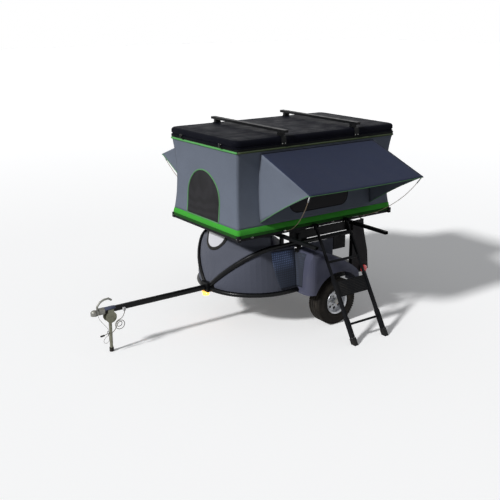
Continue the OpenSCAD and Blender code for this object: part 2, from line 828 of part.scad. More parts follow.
// A bowed rod from one point to another, its bow hanging below the straight line
module bowed_rod(p, q, bow, d) {
    c = q - p;
    len_c = norm(c);
    r = len_c * len_c / (8 * bow) + bow / 2;
    ex = unit(c);
    side = unit(cross(ex, [0, 0, 1]));
    down = unit(cross(ex, side));
    mid = (p + q) / 2;
    centre = mid - down * (r - bow);
    half_a = asin(len_c / 2 / r);
    // columns: along the bow's middle, along the chord, the plane's normal
    n = cross(down, ex);
    multmatrix([[down[0], ex[0], n[0], centre[0]],
        [down[1], ex[1], n[1], centre[1]],
        [down[2], ex[2], n[2], centre[2]],
        [0, 0, 0, 1]])
        bend(r, -half_a, half_a, d, 0);
}

module awning_rods() {
    color("#b9b49a") in_frame() both_sides() for (s = [-1, 1])
        bowed_rod([s * (awning_half_l - 12), awning_reach - 16, awning_tip_z - 6],
            [s * 470, tray_w / 2 + rod_d / 4, tray_z + tray_h / 2], 95, rod_d);
}

module lid_form(inset) {
    c = lid_chamfer;
    intersection() {
        translate([0, lid_w, 0]) rotate([90, 0, 0]) linear_extrude(2 * lid_w)
            lid_profile(lid_l / 2 - inset, c, inset);
        translate([-lid_l, 0, 0]) rotate([90, 0, 90]) linear_extrude(2 * lid_l)
            lid_profile(lid_w / 2 - inset, c, inset);
        linear_extrude(lid_rim_z + lid_h + 100)
            rounded_plate(lid_l - 2 * inset, lid_w - 2 * inset, lid_corner - inset);
    }
}

module rounded_plate(l, w, r) {
    square([l - 2 * r, w], center = true);
    square([l, w - 2 * r], center = true);
    for (x = [-1, 1], y = [-1, 1]) translate([x * (l / 2 - r), y * (w / 2 - r)]) circle(r = r);
}

module lid_profile(half, c, inset) {
    top = lid_rim_z + lid_h - inset;
    polygon([[-half, lid_rim_z + inset], [half, lid_rim_z + inset],
        [half, top - c], [half - c, top], [-half + c, top], [-half, top - c]]);
}

module lid_shell() {
    lip = 60;
    color("#1b1c1f") in_frame() difference() {
        lid_form(0);
        lid_form(lid_t);
        box([lid_l - 2 * lip, lid_w - 2 * lip, 3 * lid_t], [0, 0, lid_rim_z]);
    }
}

roof_bar_xs = [480, -480];
module roof_bars() {
    lid_top = lid_rim_z + lid_h + seat;
    color("#141517") in_frame() for (x = roof_bar_xs) {
        both_sides() box([64, 40, roof_foot_h], [x, 566, lid_top + roof_foot_h / 2]);
        box([roof_bar_w, roof_bar_l, roof_bar_h],
            [x, 0, lid_top + roof_foot_h + roof_bar_h / 2]);
    }
}

// Everything on the ladder is drawn hanging from its hinge and then leant out
module ladder_place() {
    in_frame() translate([ladder_x, hinge_y, hinge_z]) rotate([ladder_a, 0, 0]) children();
}

foot_h = 46;
module ladder_rails() {
    low = ladder_len - foot_h - 26;
    color("#1c1d1f") ladder_place() for (s = [-1, 1])
        translate([s * ladder_w / 2, 0, 0]) difference() {
            union() {
                box([ladder_upper_w, ladder_rail_t - 12, ladder_split + 20],
                    [0, 0, -ladder_split / 2 - 10]);
                box([ladder_rail_w, ladder_rail_t, low - ladder_split],
                    [0, 0, -(low + ladder_split) / 2]);
                box([ladder_rail_w + 8, ladder_rail_t + 8, 210], [0, 0, -low + 105]);
                rotate([0, 90, 0]) cylinder(h = ladder_rail_w, r = ladder_rail_t / 2,
                    center = true);
            }
            translate([-50, 0, 0]) rotate([0, 90, 0])
                cylinder(h = 100, r = hinge_pin_r + run_gap);
        }
}

module ladder_rungs() {
    // columns: distance down the rails, height along them, depth, width of one rail there
    rungs = [[1050, 24, 30, ladder_rail_w + 8], [690, 130, 12, ladder_rail_w],
        [380, 24, 26, ladder_upper_w], [110, 24, 26, ladder_upper_w]];
    color("#1c1d1f") ladder_place() for (r = rungs)
        box([ladder_w - r[3] - 2 * seat, r[2], r[1]], [0, 0, -r[0]]);
}

module ladder_feet() {
    low = ladder_len - foot_h - 26;
    color("#101010") intersection() {
        ladder_place() for (s = [-1, 1]) translate([s * ladder_w / 2, 0, 0])
            box([ladder_rail_w + 22, ladder_rail_t + 10, foot_h + 70],
                [0, 0, -low - seat - (foot_h + 70) / 2]);
        translate([-4000, 0, 0]) cube([8000, 4000, 300]);
    }
}

module ladder_hinge() {
    color("#1c1d1f") in_frame() for (s = [-1, 1])
        translate([ladder_x + s * ladder_w / 2, 0, 0]) {
            for (t = [-1, 1]) difference() {
                union() {
                    box([5, hinge_y - tray_w / 2 - seat, 26],
                        [t * (ladder_rail_w / 2 + 4), (hinge_y + tray_w / 2 + seat) / 2,
                            tray_z + 13]);
                    translate([t * (ladder_rail_w / 2 + 4) - 2.5, hinge_y, hinge_z])
                        rotate([0, 90, 0]) cylinder(h = 5, r = 16);
                    box([5, 32, 40], [t * (ladder_rail_w / 2 + 4), hinge_y, hinge_z + 20]);
                }
            }
            translate([-ladder_rail_w / 2 - 4, hinge_y, hinge_z]) rotate([0, 90, 0])
                cylinder(h = ladder_rail_w + 8, r = hinge_pin_r);
        }
}

module marker_lamp() {
    color("#e6a832") in_frame() translate([nose_x + 30, 0, rail_low_z - 30 - seat - 42])
        cylinder(h = 42, r = 34);
}

module tail_lamps() {
    color("#b8161c") in_frame() both_sides()
        translate([-705, column_y + seat, 500]) rotate([-90, 0, 0]) cylinder(h = 34, r = 38);
}

// Cords: a smooth curve through points chosen by hand, swept as an eight-sided tube
light_d = 7;
breakaway_d = 4;
// columns: x ahead of the tent's middle, y, z
light_route = [[2012, 46, 416], [2014, 48, 400], [2028, 51, 372], [2048, 53, 350],
    [2078, 54, 338], [2106, 54, 324], [2121, 54, 292], [2108, 54, 254], [2072, 54, 237],
    [2036, 54, 250], [2021, 55, 286], [2036, 58, 318], [2064, 62, 332], [2094, 64, 331],
    [2113, 66, 308], [2106, 67, 281], [2082, 67, 273], [2060, 66, 285], [2056, 66, 308],
    [2074, 70, 324], [2100, 72, 312], [2118, 68, 280], [2132, 62, 246], [2158, 58, 222],
    [2190, 56, 219], [2220, 56, 217], [2246, 56, 210]];
breakaway_route = [[2282, 12, 414.7], [2281, 18, 396], [2272, 34, 368], [2254, 48, 338],
    [2230, 56, 306], [2209, 58, 276], [2203, 57, 258], [2202, 56, 246.5]];
breakaway_loop = [[2202, 53, 208.7], [2198, 53, 190], [2194, 55, 162], [2202, 57, 138],
    [2220, 58, 124], [2242, 58, 126], [2255, 59, 144], [2250, 60, 168], [2232, 60, 188],
    [2210, 60, 200], [2202, 59.5, 208.7]];

// Catmull-Rom point of a route at t, counted in spans
function clamp_i(p, i) = p[max(0, min(len(p) - 1, i))];
function route_at(p, t) =
    let (i = min(floor(t), len(p) - 2), f = t - i,
        a = clamp_i(p, i - 1), b = p[i], c = p[i + 1], d = clamp_i(p, i + 2))
    0.5 * (2 * b + (c - a) * f + (2 * a - 5 * b + 4 * c - d) * f * f
        + (3 * b - a - 3 * c + d) * f * f * f);

module swept_cord(route, d, step) {
    sides = 8;
    spans = len(route) - 1;
    rings = [for (k = [0:spans * step]) route_at(route, k / step)];
    count = len(rings);
    function along(k) = unit(rings[min(k + 1, count - 1)] - rings[max(k - 1, 0)]);
    function across(k) = unit(cross(along(k), [0, 1, 0]));
    points = [for (k = [0:count - 1], j = [0:sides - 1])
        let (n = across(k), b = cross(along(k), n), a = 360 * j / sides)
        rings[k] + d / 2 * (n * cos(a) + b * sin(a))];
    faces = concat([[for (j = [0:sides - 1]) j]],
        [for (k = [0:count - 2], j = [0:sides - 1])
            [k * sides + j, (k + 1) * sides + j, (k + 1) * sides + (j + 1) % sides,
                k * sides + (j + 1) % sides]],
        [[for (j = [sides - 1:-1:0]) (count - 1) * sides + j]]);
    polyhedron(points, faces);
}

module cable_clip() {
    color("#c8c8c8") in_frame() difference() {
        box([24, 26, 30], [2012, tongue_d / 2 + 12, tongue_z - 12]);
        translate([1990, 0, tongue_z]) rotate([0, 90, 0])
            cylinder(h = 50, d = tongue_d + 2 * seat);
    }
}

module light_cable() {
    color("#6c6a66") in_frame() swept_cord(light_route, light_d, 1);
}

module light_plug() {
    color("#141414") in_frame() translate([2246 + seat, 56, 210]) rotate([0, 96, 0])
        cylinder(h = 40, d = 18);
}

module breakaway_cable() {
    color("#8a8a86") in_frame() {
        swept_cord(breakaway_route, breakaway_d, 1);
        swept_cord(breakaway_loop, breakaway_d, 1);
    }
}

module breakaway_hook() {
    ring_r = 16;
    color("#1a1a1a") in_frame() translate([2202, 56, 227.7]) rotate([0, 90, 0])
        rotate_extrude() translate([ring_r, 0]) circle(d = 5);
}

tongue_tube();
coupler_head();
coupler_lever();
nose_bracket();
lower_rail();
upper_rails();
chassis_members();
floor_deck();
side_panels();
nose_panel();
nose_window();
quarter_panels();
fenders();
side_boxes();
rear_columns();
axle();
tyre_left();
rim_left();
tyre_right();
rim_right();
jack_bracket();
jack_leg();
jack_foot();
rack_posts();
crossbars();
tent_rails();
tent_tray();
tent_skirt();
tent_walls();
tent_band();
tent_windows();
awning_left();
awning_right();
awning_rods();
lid_shell();
roof_bars();
ladder_rails();
ladder_rungs();
ladder_feet();
ladder_hinge();
marker_lamp();
tail_lamps();
cable_clip();
light_cable();
light_plug();
breakaway_cable();
breakaway_hook();
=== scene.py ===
"""Looks of a camper trailer with a pop-up roof tent: finishes, cloth, cords and small parts."""
from math import asin, cos, hypot, pi, radians, sin, sqrt, tau

import bmesh
import bpy
import numpy as np
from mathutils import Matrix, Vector
from mathutils.bvhtree import BVHTree


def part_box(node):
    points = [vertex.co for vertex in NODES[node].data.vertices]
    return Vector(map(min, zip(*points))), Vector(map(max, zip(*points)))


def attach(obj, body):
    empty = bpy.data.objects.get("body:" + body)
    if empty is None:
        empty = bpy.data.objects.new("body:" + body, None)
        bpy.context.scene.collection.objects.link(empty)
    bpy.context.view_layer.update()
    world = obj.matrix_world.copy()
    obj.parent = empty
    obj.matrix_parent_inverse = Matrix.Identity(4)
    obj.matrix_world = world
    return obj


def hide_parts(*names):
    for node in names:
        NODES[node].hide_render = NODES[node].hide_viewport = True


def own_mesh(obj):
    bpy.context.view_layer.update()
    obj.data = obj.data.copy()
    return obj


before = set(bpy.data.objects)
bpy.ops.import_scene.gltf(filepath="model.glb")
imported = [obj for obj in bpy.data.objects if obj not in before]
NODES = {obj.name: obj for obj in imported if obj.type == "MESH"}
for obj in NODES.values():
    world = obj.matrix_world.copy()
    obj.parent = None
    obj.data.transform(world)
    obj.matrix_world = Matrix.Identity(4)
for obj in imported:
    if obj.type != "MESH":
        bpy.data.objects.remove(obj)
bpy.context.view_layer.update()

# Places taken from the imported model, in metres
LID_LOW, LID_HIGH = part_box("lid_shell")
TRAY_LOW, TRAY_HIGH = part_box("tent_tray")
SKIRT_LOW, SKIRT_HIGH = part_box("tent_skirt")
BAND_LOW, BAND_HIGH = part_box("tent_band")
TENT_X = (LID_LOW.x + LID_HIGH.x) / 2
AWNING_LOW, AWNING_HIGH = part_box("awning_left")
WALL_Z0, WALL_Z1 = SKIRT_LOW.z, BAND_HIGH.z
WALL_HALF_L = (SKIRT_HIGH.x - SKIRT_LOW.x) / 2
WALL_HALF_W = (SKIRT_HIGH.y - SKIRT_LOW.y) / 2
BOTH_SIDES = ((1, "left"), (-1, "right"))
# How far the side and end walls pull in half way up
SIDE_SAG, END_SAG = 0.053, 0.026


# Finishes

def srgb(r, g, b):
    """A colour given as 0 to 255 values, made linear."""
    def linear(v):
        v /= 255
        return v / 12.92 if v <= 0.04045 else ((v + 0.055) / 1.055) ** 2.4
    return linear(r), linear(g), linear(b)


def shade(color, share):
    """A linear colour made darker or lighter."""
    return tuple(min(1, v * share) for v in color)


def add_node(tree, kind, inputs, output=0, **values):
    """Adds a shader node, feeds its inputs with values or sockets, and gives one output."""
    made = tree.nodes.new("ShaderNode" + kind)
    for label, value in values.items():
        setattr(made, label, value)
    for label, value in inputs.items():
        if isinstance(value, bpy.types.NodeSocket):
            tree.links.new(value, made.inputs[label])
        else:
            made.inputs[label].default_value = value
    return made.outputs[output]


class Finish:
    """A material built node by node on the frame's own coordinates, in metres."""

    def __init__(self, name, color, roughness, metallic=0.0, **sockets):
        self.material = bpy.data.materials.new(name)
        self.material.use_nodes = True
        self.tree = self.material.node_tree
        self.bsdf = self.tree.nodes["Principled BSDF"]
        self.color = (*color, 1)
        self.roughness = roughness
        sockets.update(Base_Color=self.color, Roughness=roughness, Metallic=metallic)
        for label, value in sockets.items():
            self.bsdf.inputs[label.replace("_", " ")].default_value = value
        self.place = self.node("TexCoord", {}, "Object")

    def node(self, kind, inputs, output=0, **values):
        return add_node(self.tree, kind, inputs, output, **values)

    def drive(self, label, source):
        self.tree.links.new(source, self.bsdf.inputs[label])

    def driven_by(self, label):
        links = self.bsdf.inputs[label].links
        return links[0].from_socket if links else None

    def along(self, axis):
        return self.node("SeparateXYZ", {0: self.place}, axis)

    def noise(self, scale, detail, stretch=(1, 1, 1)):
        place = self.node("Mapping", {"Vector": self.place, "Scale": stretch})
        return self.node("TexNoise", {"Vector": place, "Scale": scale, "Detail": detail}, "Fac")

    def wave(self, axis, period):
        return self.node("TexWave", {"Vector": self.place, "Scale": 0.314 / period}, "Fac",
                         bands_direction=axis)

    def cells(self, scale):
        return self.node("TexVoronoi", {"Vector": self.place, "Scale": scale}, "Distance")

    def math(self, operation, a, b):
        return self.node("Math", {0: a, 1: b}, operation=operation)

    def crossing(self, first, second, period):
        """Waves along two axes, multiplied into a pattern of dots."""
        return self.math("MULTIPLY", self.wave(first, period), self.wave(second, period))

    def ramp(self, source, low, high, dark=0.0, light=1.0):
        return self.node("MapRange", {"Value": source, "From Min": low, "From Max": high,
                                      "To Min": dark, "To Max": light}, "Result")

    def tint(self, share, other):
        """Mixes the colour so far towards another one by a share."""
        so_far = self.driven_by("Base Color") or self.color
        self.drive("Base Color", self.node("Mix", {"Factor": share, "A": so_far, "B": (*other, 1)},
                                           "Result", data_type="RGBA"))

    def stain(self, scale, detail, low, high, share, other):
        """Tints the patches where a noise runs high."""
        self.tint(self.ramp(self.noise(scale, detail), low, high, 0, share), other)

    def wear(self, scale, detail, high, less, more):
        """Lets the roughness wander with a noise, so much below and above its value."""
        self.drive("Roughness", self.ramp(self.noise(scale, detail), 0.3, high,
                                          self.roughness - less, self.roughness + more))

    def bump(self, height, distance, strength=0.5):
        inputs = {"Height": height, "Distance": distance, "Strength": strength}
        if self.driven_by("Normal"):
            inputs["Normal"] = self.driven_by("Normal")
        self.drive("Normal", self.node("Bump", inputs, "Normal"))


def paint(name, color, roughness, dust, coat, shine):
    """Powder coat with a faint orange peel and a little dust."""
    made = Finish(name, color, roughness, Coat_Weight=coat, Coat_Roughness=0.2, Specular_IOR_Level=shine)
    made.bump(made.noise(420, 2), 0.0006, 0.25)
    made.stain(5, 6, 0.45, 0.8, dust, srgb(120, 116, 108))
    made.wear(14, 4, 0.75, 0.05, 0.14)
    return made.material


def cloth(name, color, thread=0.0016, variation=0.20, sheen=0.03, roughness=0.85):
    """Coated canvas: a fine plain weave, soft creases and faint shade changes."""
    made = Finish(name, color, roughness, Sheen_Weight=sheen, Sheen_Roughness=0.5,
                  Specular_IOR_Level=0.12)
    made.bump(made.noise(7, 4), 0.010, 0.35)
    made.bump(made.noise(38, 3, (1, 1, 0.4)), 0.002, 0.3)
    made.bump(made.math("ADD", made.crossing("X", "Z", thread), made.crossing("Y", "Z", thread)),
              0.0005)
    made.stain(3.5, 5, 0.35, 0.75, variation, shade(color, 0.62))
    made.stain(240, 2, 0.55, 0.9, variation * 1.2, shade(color, 1.35))
    return made.material


def moulded(name, color, roughness=0.5, grain=900, depth=0.0006, shine=0.08):
    """Moulded plastic with a fine leathery grain."""
    made = Finish(name, color, roughness, Specular_IOR_Level=shine)
    made.bump(made.cells(grain), depth)
    made.bump(made.noise(6, 3), 0.003, 0.12)
    made.wear(9, 5, 0.75, 0.08, 0.12)
    made.stain(4, 6, 0.5, 0.85, 0.5, shade(color, 1.6))
    return made.material


def galvanised(name, color, roughness=0.48):
    """Zinc with dull flakes and some grime."""
    made = Finish(name, color, roughness, metallic=0.75)
    flakes = made.cells(90)
    made.tint(made.ramp(flakes, 0.2, 0.9, 0, 0.5), shade(color, 0.5))
    made.stain(22, 6, 0.5, 0.75, 0.35, srgb(96, 84, 66))
    made.wear(40, 4, 0.7, 0.1, 0.2)
    made.bump(flakes, 0.0008, 0.3)
    return made.material


def rubber(name, color, roughness):
    """Rubber with a fine grain and some dust."""
    made = Finish(name, color, roughness, Specular_IOR_Level=0.2)
    made.bump(made.noise(160, 4), 0.0008, 0.4)
    made.stain(12, 6, 0.48, 0.8, 0.4, srgb(78, 72, 64))
    return made.material


def cast_metal(name, color, roughness):
    """Bare or silver-painted metal, a little worn."""
    made = Finish(name, color, roughness, metallic=0.85)
    made.bump(made.noise(240, 3), 0.0005, 0.3)
    made.wear(30, 5, 0.7, 0.06, 0.18)
    made.stain(18, 6, 0.55, 0.8, 0.35, srgb(120, 118, 112))
    return made.material


def lens(name, color, glow):
    """A ribbed lamp lens that is lit a little."""
    made = Finish(name, color, 0.12, Transmission_Weight=0.25, Coat_Weight=0.6,
                  Emission_Color=(*color, 1), Emission_Strength=glow)
    made.bump(made.wave("Z", 0.005), 0.0012, 0.6)
    made.tint(made.ramp(made.wave("X", 0.006), 0.4, 0.9, 0, 0.3), shade(color, 0.4))
    return made.material


def netting(name, thread_color, gap_color, period):
    """A mesh whose holes are drawn as dark dots in rows."""
    made = Finish(name, thread_color, 0.7, Sheen_Weight=0.05, Specular_IOR_Level=0.15)
    holes = made.crossing("X", "Z", period)
    made.tint(made.ramp(holes, 0.25, 0.55), gap_color)
    made.stain(6, 4, 0.4, 0.8, 0.3, gap_color)
    made.bump(holes, 0.0008, -0.5)
    return made.material


def net_over_lining(name, thread_color, hole_color, painted_shade_color, period):
    """Pocket net: bright holes at its top, and painted shade that darkens it towards the bottom and the
    rear.
    """
    made = Finish(name, thread_color, 0.75, Specular_IOR_Level=0.1)
    holes = made.crossing("X", "Z", period)
    made.tint(made.ramp(holes, 0.25, 0.6), hole_color)
    # Painted shade: the net turns darker towards the bottom and towards the rear
    low = made.ramp(made.along("Z"), 0.86, 0.66, 0, 0.9)
    back = made.ramp(made.along("X"), -0.25, -0.36, 0, 0.95)
    made.tint(made.math("MAXIMUM", low, back), painted_shade_color)
    made.stain(9, 4, 0.4, 0.8, 0.4, painted_shade_color)
    made.bump(holes, 0.0012, -0.6)
    return made.material


def glazing(name, color):
    made = Finish(name, color, 0.06, Coat_Weight=0.8, Coat_Roughness=0.03)
    made.stain(3, 3, 0.3, 0.8, 0.25, shade(color, 0.75))
    made.bump(made.noise(9, 2), 0.004, 0.15)
    return made.material


def checker_plate(name, color):
    made = Finish(name, color, 0.55, Specular_IOR_Level=0.3)
    made.bump(made.crossing("DIAGONAL", "X", 0.02), 0.002)
    made.stain(8, 6, 0.45, 0.8, 0.4, srgb(90, 88, 84))
    return made.material


BLACK = paint("gloss_black", srgb(10, 11, 13), 0.26, 0.01, 0.02, 0.14)
SATIN_BLACK = paint("satin_black", srgb(14, 15, 17), 0.38, 0.02, 0.0, 0.10)
LADDER = paint("ladder_black", srgb(16, 17, 20), 0.42, 0.03, 0.0, 0.06)
FENDER = paint("fender_paint", srgb(73, 75, 92), 0.42, 0.10, 0.05, 0.14)
COLUMN = moulded("column_skin", srgb(33, 31, 34), 0.5, 500)
LID = moulded("lid_skin", srgb(14, 15, 22), 0.5, 700, 0.0004, 0.018)
TRAY = moulded("tray_skin", srgb(20, 20, 22), 0.5, 800)
SHELF = checker_plate("deck_plate", srgb(44, 44, 46))
BOX = moulded("box_skin", srgb(19, 19, 21), 0.55, 600)
GREY_CLOTH = cloth("tent_cloth", srgb(103, 110, 123))
GREEN_CLOTH = cloth("green_cloth", srgb(62, 156, 52), variation=0.25)
AWNING_CLOTH = cloth("awning_cloth", srgb(43, 49, 69), 0.0014, 0.15, 0.02)
PIPING = cloth("green_piping", srgb(92, 140, 96), 0.003)
# Painted shade: a darker copy of the skirt's green, for the band where the skirt's lower fold turns
# under
SKIRT_FOLD_SHADE_CLOTH = cloth("skirt_fold_painted_shade", srgb(26, 74, 22), variation=0.25)
# Painted shade: a darker copy of the roll's green, for the rolls on the long sides
SIDE_ROLL_SHADE_CLOTH = cloth("roll_painted_shade", srgb(66, 76, 54), 0.003)
SEAM_CLOTH = cloth("seam_black", srgb(18, 20, 20))
ROLL_CLOTH = cloth("roll_green", srgb(92, 160, 92), 0.003)
DARK_PIPING = cloth("dark_piping", srgb(34, 36, 42), 0.003)
BODY_CLOTH = cloth("body_skin", srgb(76, 79, 91), 0.0018, 0.25, 0.03, 0.6)
# A darker cloth for the inner faces of the body's panels
INNER_FACE_CLOTH = cloth("body_inner_faces", srgb(30, 31, 35), 0.0018, 0.2, 0.01)
NOSE_CLOTH = cloth("nose_skin", srgb(82, 85, 96), 0.0018, 0.3, 0.03, 0.6)
MESH = netting("window_mesh", srgb(33, 32, 35), srgb(17, 16, 18), 0.006)
# The last colour is painted shade, which the net darkens to towards its bottom and rear
POCKET = net_over_lining("pocket_mesh", srgb(84, 97, 128), srgb(132, 154, 204),
                         srgb(50, 53, 60), 0.024)
GALVANISED = galvanised("jack_galvanised", srgb(128, 128, 112))
CAST = galvanised("coupler_zinc", srgb(140, 140, 134), 0.4)
SLEEVE = paint("sleeve_steel", srgb(72, 77, 98), 0.3, 0.02, 0.05, 0.25)
TYRE = rubber("tyre_rubber", srgb(27, 24, 21), 0.85)
RUBBER = rubber("black_rubber", srgb(20, 20, 20), 0.7)
ALLOY = cast_metal("rim_silver", srgb(176, 178, 182), 0.34)
BOLT = cast_metal("bolt_zinc", srgb(150, 150, 146), 0.35)
SPRING = cast_metal("spring_steel", srgb(132, 116, 96), 0.4)
AMBER = lens("amber_lens", srgb(250, 192, 92), 1.5)
RED = lens("red_lens", srgb(196, 18, 28), 0.35)
WINDOW = glazing("nose_glazing", srgb(196, 196, 202))
CABLE = rubber("cable_sheath", srgb(112, 108, 100), 0.6)
WIRE = galvanised("wire_rope", srgb(120, 118, 110), 0.4)
CLIP = moulded("clip_plastic", srgb(200, 200, 200), 0.45, 900, 0.0003)


# Mesh helpers

def add_object(name, data):
    made = bpy.data.objects.new(name, data)
    bpy.context.scene.collection.objects.link(made)
    return made


def join_parts(parts):
    """One vertex and face list out of several."""
    verts, faces = [], []
    for part_verts, part_faces in parts:
        faces += [tuple(i + len(verts) for i in face) for face in part_faces]
        verts += list(part_verts)
    return verts, faces


def piece(name, parts, material, body="root", smooth=True):
    """One piece out of (vertices, faces) parts, riding on a body."""
    verts, faces = join_parts(parts)
    mesh = bpy.data.meshes.new(name)
    mesh.from_pydata([tuple(v) for v in verts], [], faces)
    mesh.validate()
    mesh.polygons.foreach_set("use_smooth", [smooth] * len(mesh.polygons))
    mesh.materials.append(material)
    made = add_object(name, mesh)
    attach(made, body)
    return made


def add_modifier(made, kind, **values):
    modifier = made.modifiers.new(kind.lower(), kind)
    for label, value in values.items():
        setattr(modifier, label, value)


def grid_faces(rows, cols, wrap=False):
    """Quads of a grid stored row by row; wrap joins the last column to the first."""
    faces = []
    for r in range(rows - 1):
        for c in range(cols if wrap else cols - 1):
            d = (c + 1) % cols
            faces.append((r * cols + c, r * cols + d, (r + 1) * cols + d, (r + 1) * cols + c))
    return faces


def flipped(faces):
    return [tuple(reversed(face)) for face in faces]


def shares(steps):
    return [k / steps for k in range(steps + 1)]


def hump(share):
    """Rises from 0 to 1 and falls back to 0 while a share goes from 0 to 1."""
    return sin(pi * share)


def points_grid(rows, cols, point):
    """Rows of points: point(t, s) is asked with t across the rows and s along them."""
    return [[point(t, s) for s in shares(cols)] for t in shares(rows)]


def skin(name, rows, material, body="root", flip=False, wrap=False, capped=False,
         thickness=0.0, offset=0.0):
    """A smooth skin through rows of points, thickened by a modifier."""
    cols = len(rows[0])
    faces = grid_faces(len(rows), cols, wrap)
    if capped:
        faces.append(tuple((len(rows) - 1) * cols + c for c in range(cols)))
    verts = [spot for row in rows for spot in row]
    made = piece(name, [(verts, flipped(faces) if flip else faces)], material, body)
    if thickness:
        add_modifier(made, "SOLIDIFY", thickness=thickness, offset=offset)
    return made


def angles(steps):
    return [tau * k / steps for k in range(steps)]


def end_caps(rings, sides):
    """The two end faces of a tube of so many rings."""
    return [tuple(range(sides))[::-1], tuple(range((rings - 1) * sides, rings * sides))]


def tube_mesh(path, radius, sides=10, closed=False):
    """Vertices and faces of a round tube along a path."""
    path = [Vector(p) for p in path]
    count = len(path)
    verts, normal = [], None
    for k, spot in enumerate(path):
        before, after = (k - 1, (k + 1) % count) if closed else (max(k - 1, 0), min(k + 1, count - 1))
        along = (path[after] - path[before]).normalized()
        if normal is None:
            normal = along.orthogonal().normalized()
        normal = (normal - along * normal.dot(along)).normalized()
        side = along.cross(normal)
        verts += [spot + radius * (normal * cos(a) + side * sin(a)) for a in angles(sides)]
    faces = grid_faces(count, sides, wrap=True)
    last = (count - 1) * sides
    if closed:
        faces += [(last + j, last + (j + 1) % sides, (j + 1) % sides, j) for j in range(sides)]
        return verts, faces
    return verts, faces + end_caps(count, sides)


def tube(name, path, radius, material, sides=8, closed=False):
    return piece(name, [tube_mesh(path, radius, sides, closed)], material)


def turned_parts(centre, axis, profile, steps=36):
    """A turned form, closed at both ends, from (radius, height) pairs about an axis."""
    axis = Vector(axis).normalized()
    u = axis.orthogonal().normalized()
    v = axis.cross(u)
    verts = [Vector(centre) + axis * height + radius * (u * cos(a) + v * sin(a))
             for radius, height in profile for a in angles(steps)]
    return verts, grid_faces(len(profile), steps, wrap=True) + end_caps(len(profile), steps)


def disc_parts(centre, axis, radius, height, sides=6):
    """A closed prism or cylinder standing on a point."""
    return turned_parts(centre, axis, [(radius, 0.0), (radius, height)], sides)


def bolt_parts(centre, axis, size):
    """A washer with a hexagon head on it."""
    axis = Vector(axis).normalized()
    washer = disc_parts(centre, axis, size * 1.05, size * 0.22, 16)
    head = disc_parts(Vector(centre) + axis * size * 0.22, axis, size * 0.82, size * 0.6)
    return join_parts([washer, head])


def block_parts(corner, opposite):
    """A block between two opposite corners."""
    xs, ys, zs = (sorted(pair) for pair in zip(corner, opposite))
    return ([(x, y, z) for x in xs for y in ys for z in zs],
            [(0, 1, 3, 2), (4, 6, 7, 5), (0, 4, 5, 1), (2, 3, 7, 6), (0, 2, 6, 4), (1, 5, 7, 3)])


def run(start, end, steps):
    """Points along a straight stretch of an outline, without its end."""
    return [tuple(a + (b - a) * k / steps for a, b in zip(start, end)) for k in range(steps)]


def arc(u, z, radius, start, end, steps):
    """Points of an arc in an outline, both ends kept, with its angles in quarter turns."""
    turns = [pi / 2 * (start + (end - start) * share) for share in shares(steps)]
    return [(u + radius * cos(a), z + radius * sin(a)) for a in turns]


def rounded_ring(half_l, half_w, radius, z, steps=10):
    """Points round a rectangle with rounded corners, centred on the tent."""
    ring = []
    for quarter, (end, side) in enumerate(((1, 1), (-1, 1), (-1, -1), (1, -1))):
        ring += arc(TENT_X + end * (half_l - radius), side * (half_w - radius), radius,
                    quarter, quarter + 1, steps)
    return [Vector((x, y, z)) for x, y in ring]


def catmull(points, steps):
    """A smooth path through given points."""
    points = [Vector(p) for p in points]
    last = len(points) - 1
    path = []
    for k in range(last * steps + 1):
        i = min(k // steps, last - 1)
        t = k / steps - i
        a, b = points[max(i - 1, 0)], points[i]
        c, d = points[i + 1], points[min(i + 2, last)]
        path.append(0.5 * (2 * b + (c - a) * t + (2 * a - 5 * b + 4 * c - d) * t * t
                           + (3 * b - a - 3 * c + d) * t ** 3))
    return path


def sharpen(made, degrees):
    """Marks as sharp the edges whose faces meet at more than an angle."""
    work = bmesh.new()
    work.from_mesh(made.data)
    limit = radians(degrees)
    for edge in work.edges:
        edge.smooth = len(edge.link_faces) == 2 and edge.calc_face_angle(0.0) <= limit
    work.to_mesh(made.data)
    work.free()


def finish_node(name, material, bevel):
    """Gives a CAD node its material, and softens its edges."""
    node = NODES[name]
    node.data.materials.clear()
    node.data.materials.append(material)
    node.data.polygons.foreach_set("use_smooth", [True] * len(node.data.polygons))
    if bevel:
        add_modifier(node, "BEVEL", width=bevel, segments=2, limit_method="ANGLE",
                     angle_limit=radians(40), harden_normals=False)
    sharpen(node, 35)


def surface(name):
    """A CAD node's surface, to lay trim on."""
    node = NODES[name]
    return BVHTree.FromPolygons([node.matrix_world @ v.co for v in node.data.vertices],
                                [tuple(poly.vertices) for poly in node.data.polygons])


def laid(tree, origin, aim, out):
    """Where a straight line meets a surface, lifted a little towards its start."""
    aim = Vector(aim)
    spot = tree.ray_cast(Vector(origin), aim)[0]
    return None if spot is None else spot - aim * out


# Camera, light and floor

LENS, SENSOR_WIDTH = 56.78, 36
CAMERA_SPOT = (5.268 + TENT_X, 6.675, 3.276)
CAMERA_AIM = (-0.5597, -0.7750, -0.2935)
SUN_POWER, SUN_SPREAD, SUN_AIM = 3.3, radians(6), (-1.5, -0.20, -1.0)
FILL_COLOR, FILL_POWER = (0.95, 0.97, 1.0, 1), 0.24
FLOOR_COLOR, FLOOR_HALF = (0.34, 0.34, 0.34), 60
# The floor's glow grows between two distances from the middle, from one strength to another
GLOW_SPREAD, GLOW_POWER = (4.5, 14), (0.11, 0.22)


def add_aimed(name, data, aim):
    made = add_object(name, data)
    made.rotation_mode = "QUATERNION"
    made.rotation_quaternion = Vector(aim).to_track_quat("-Z", "Y")
    return made


def make_camera():
    data = bpy.data.cameras.new("camera")
    data.lens, data.sensor_width = LENS, SENSOR_WIDTH
    camera = add_aimed("camera", data, CAMERA_AIM)
    camera.location = CAMERA_SPOT
    bpy.context.scene.camera = camera


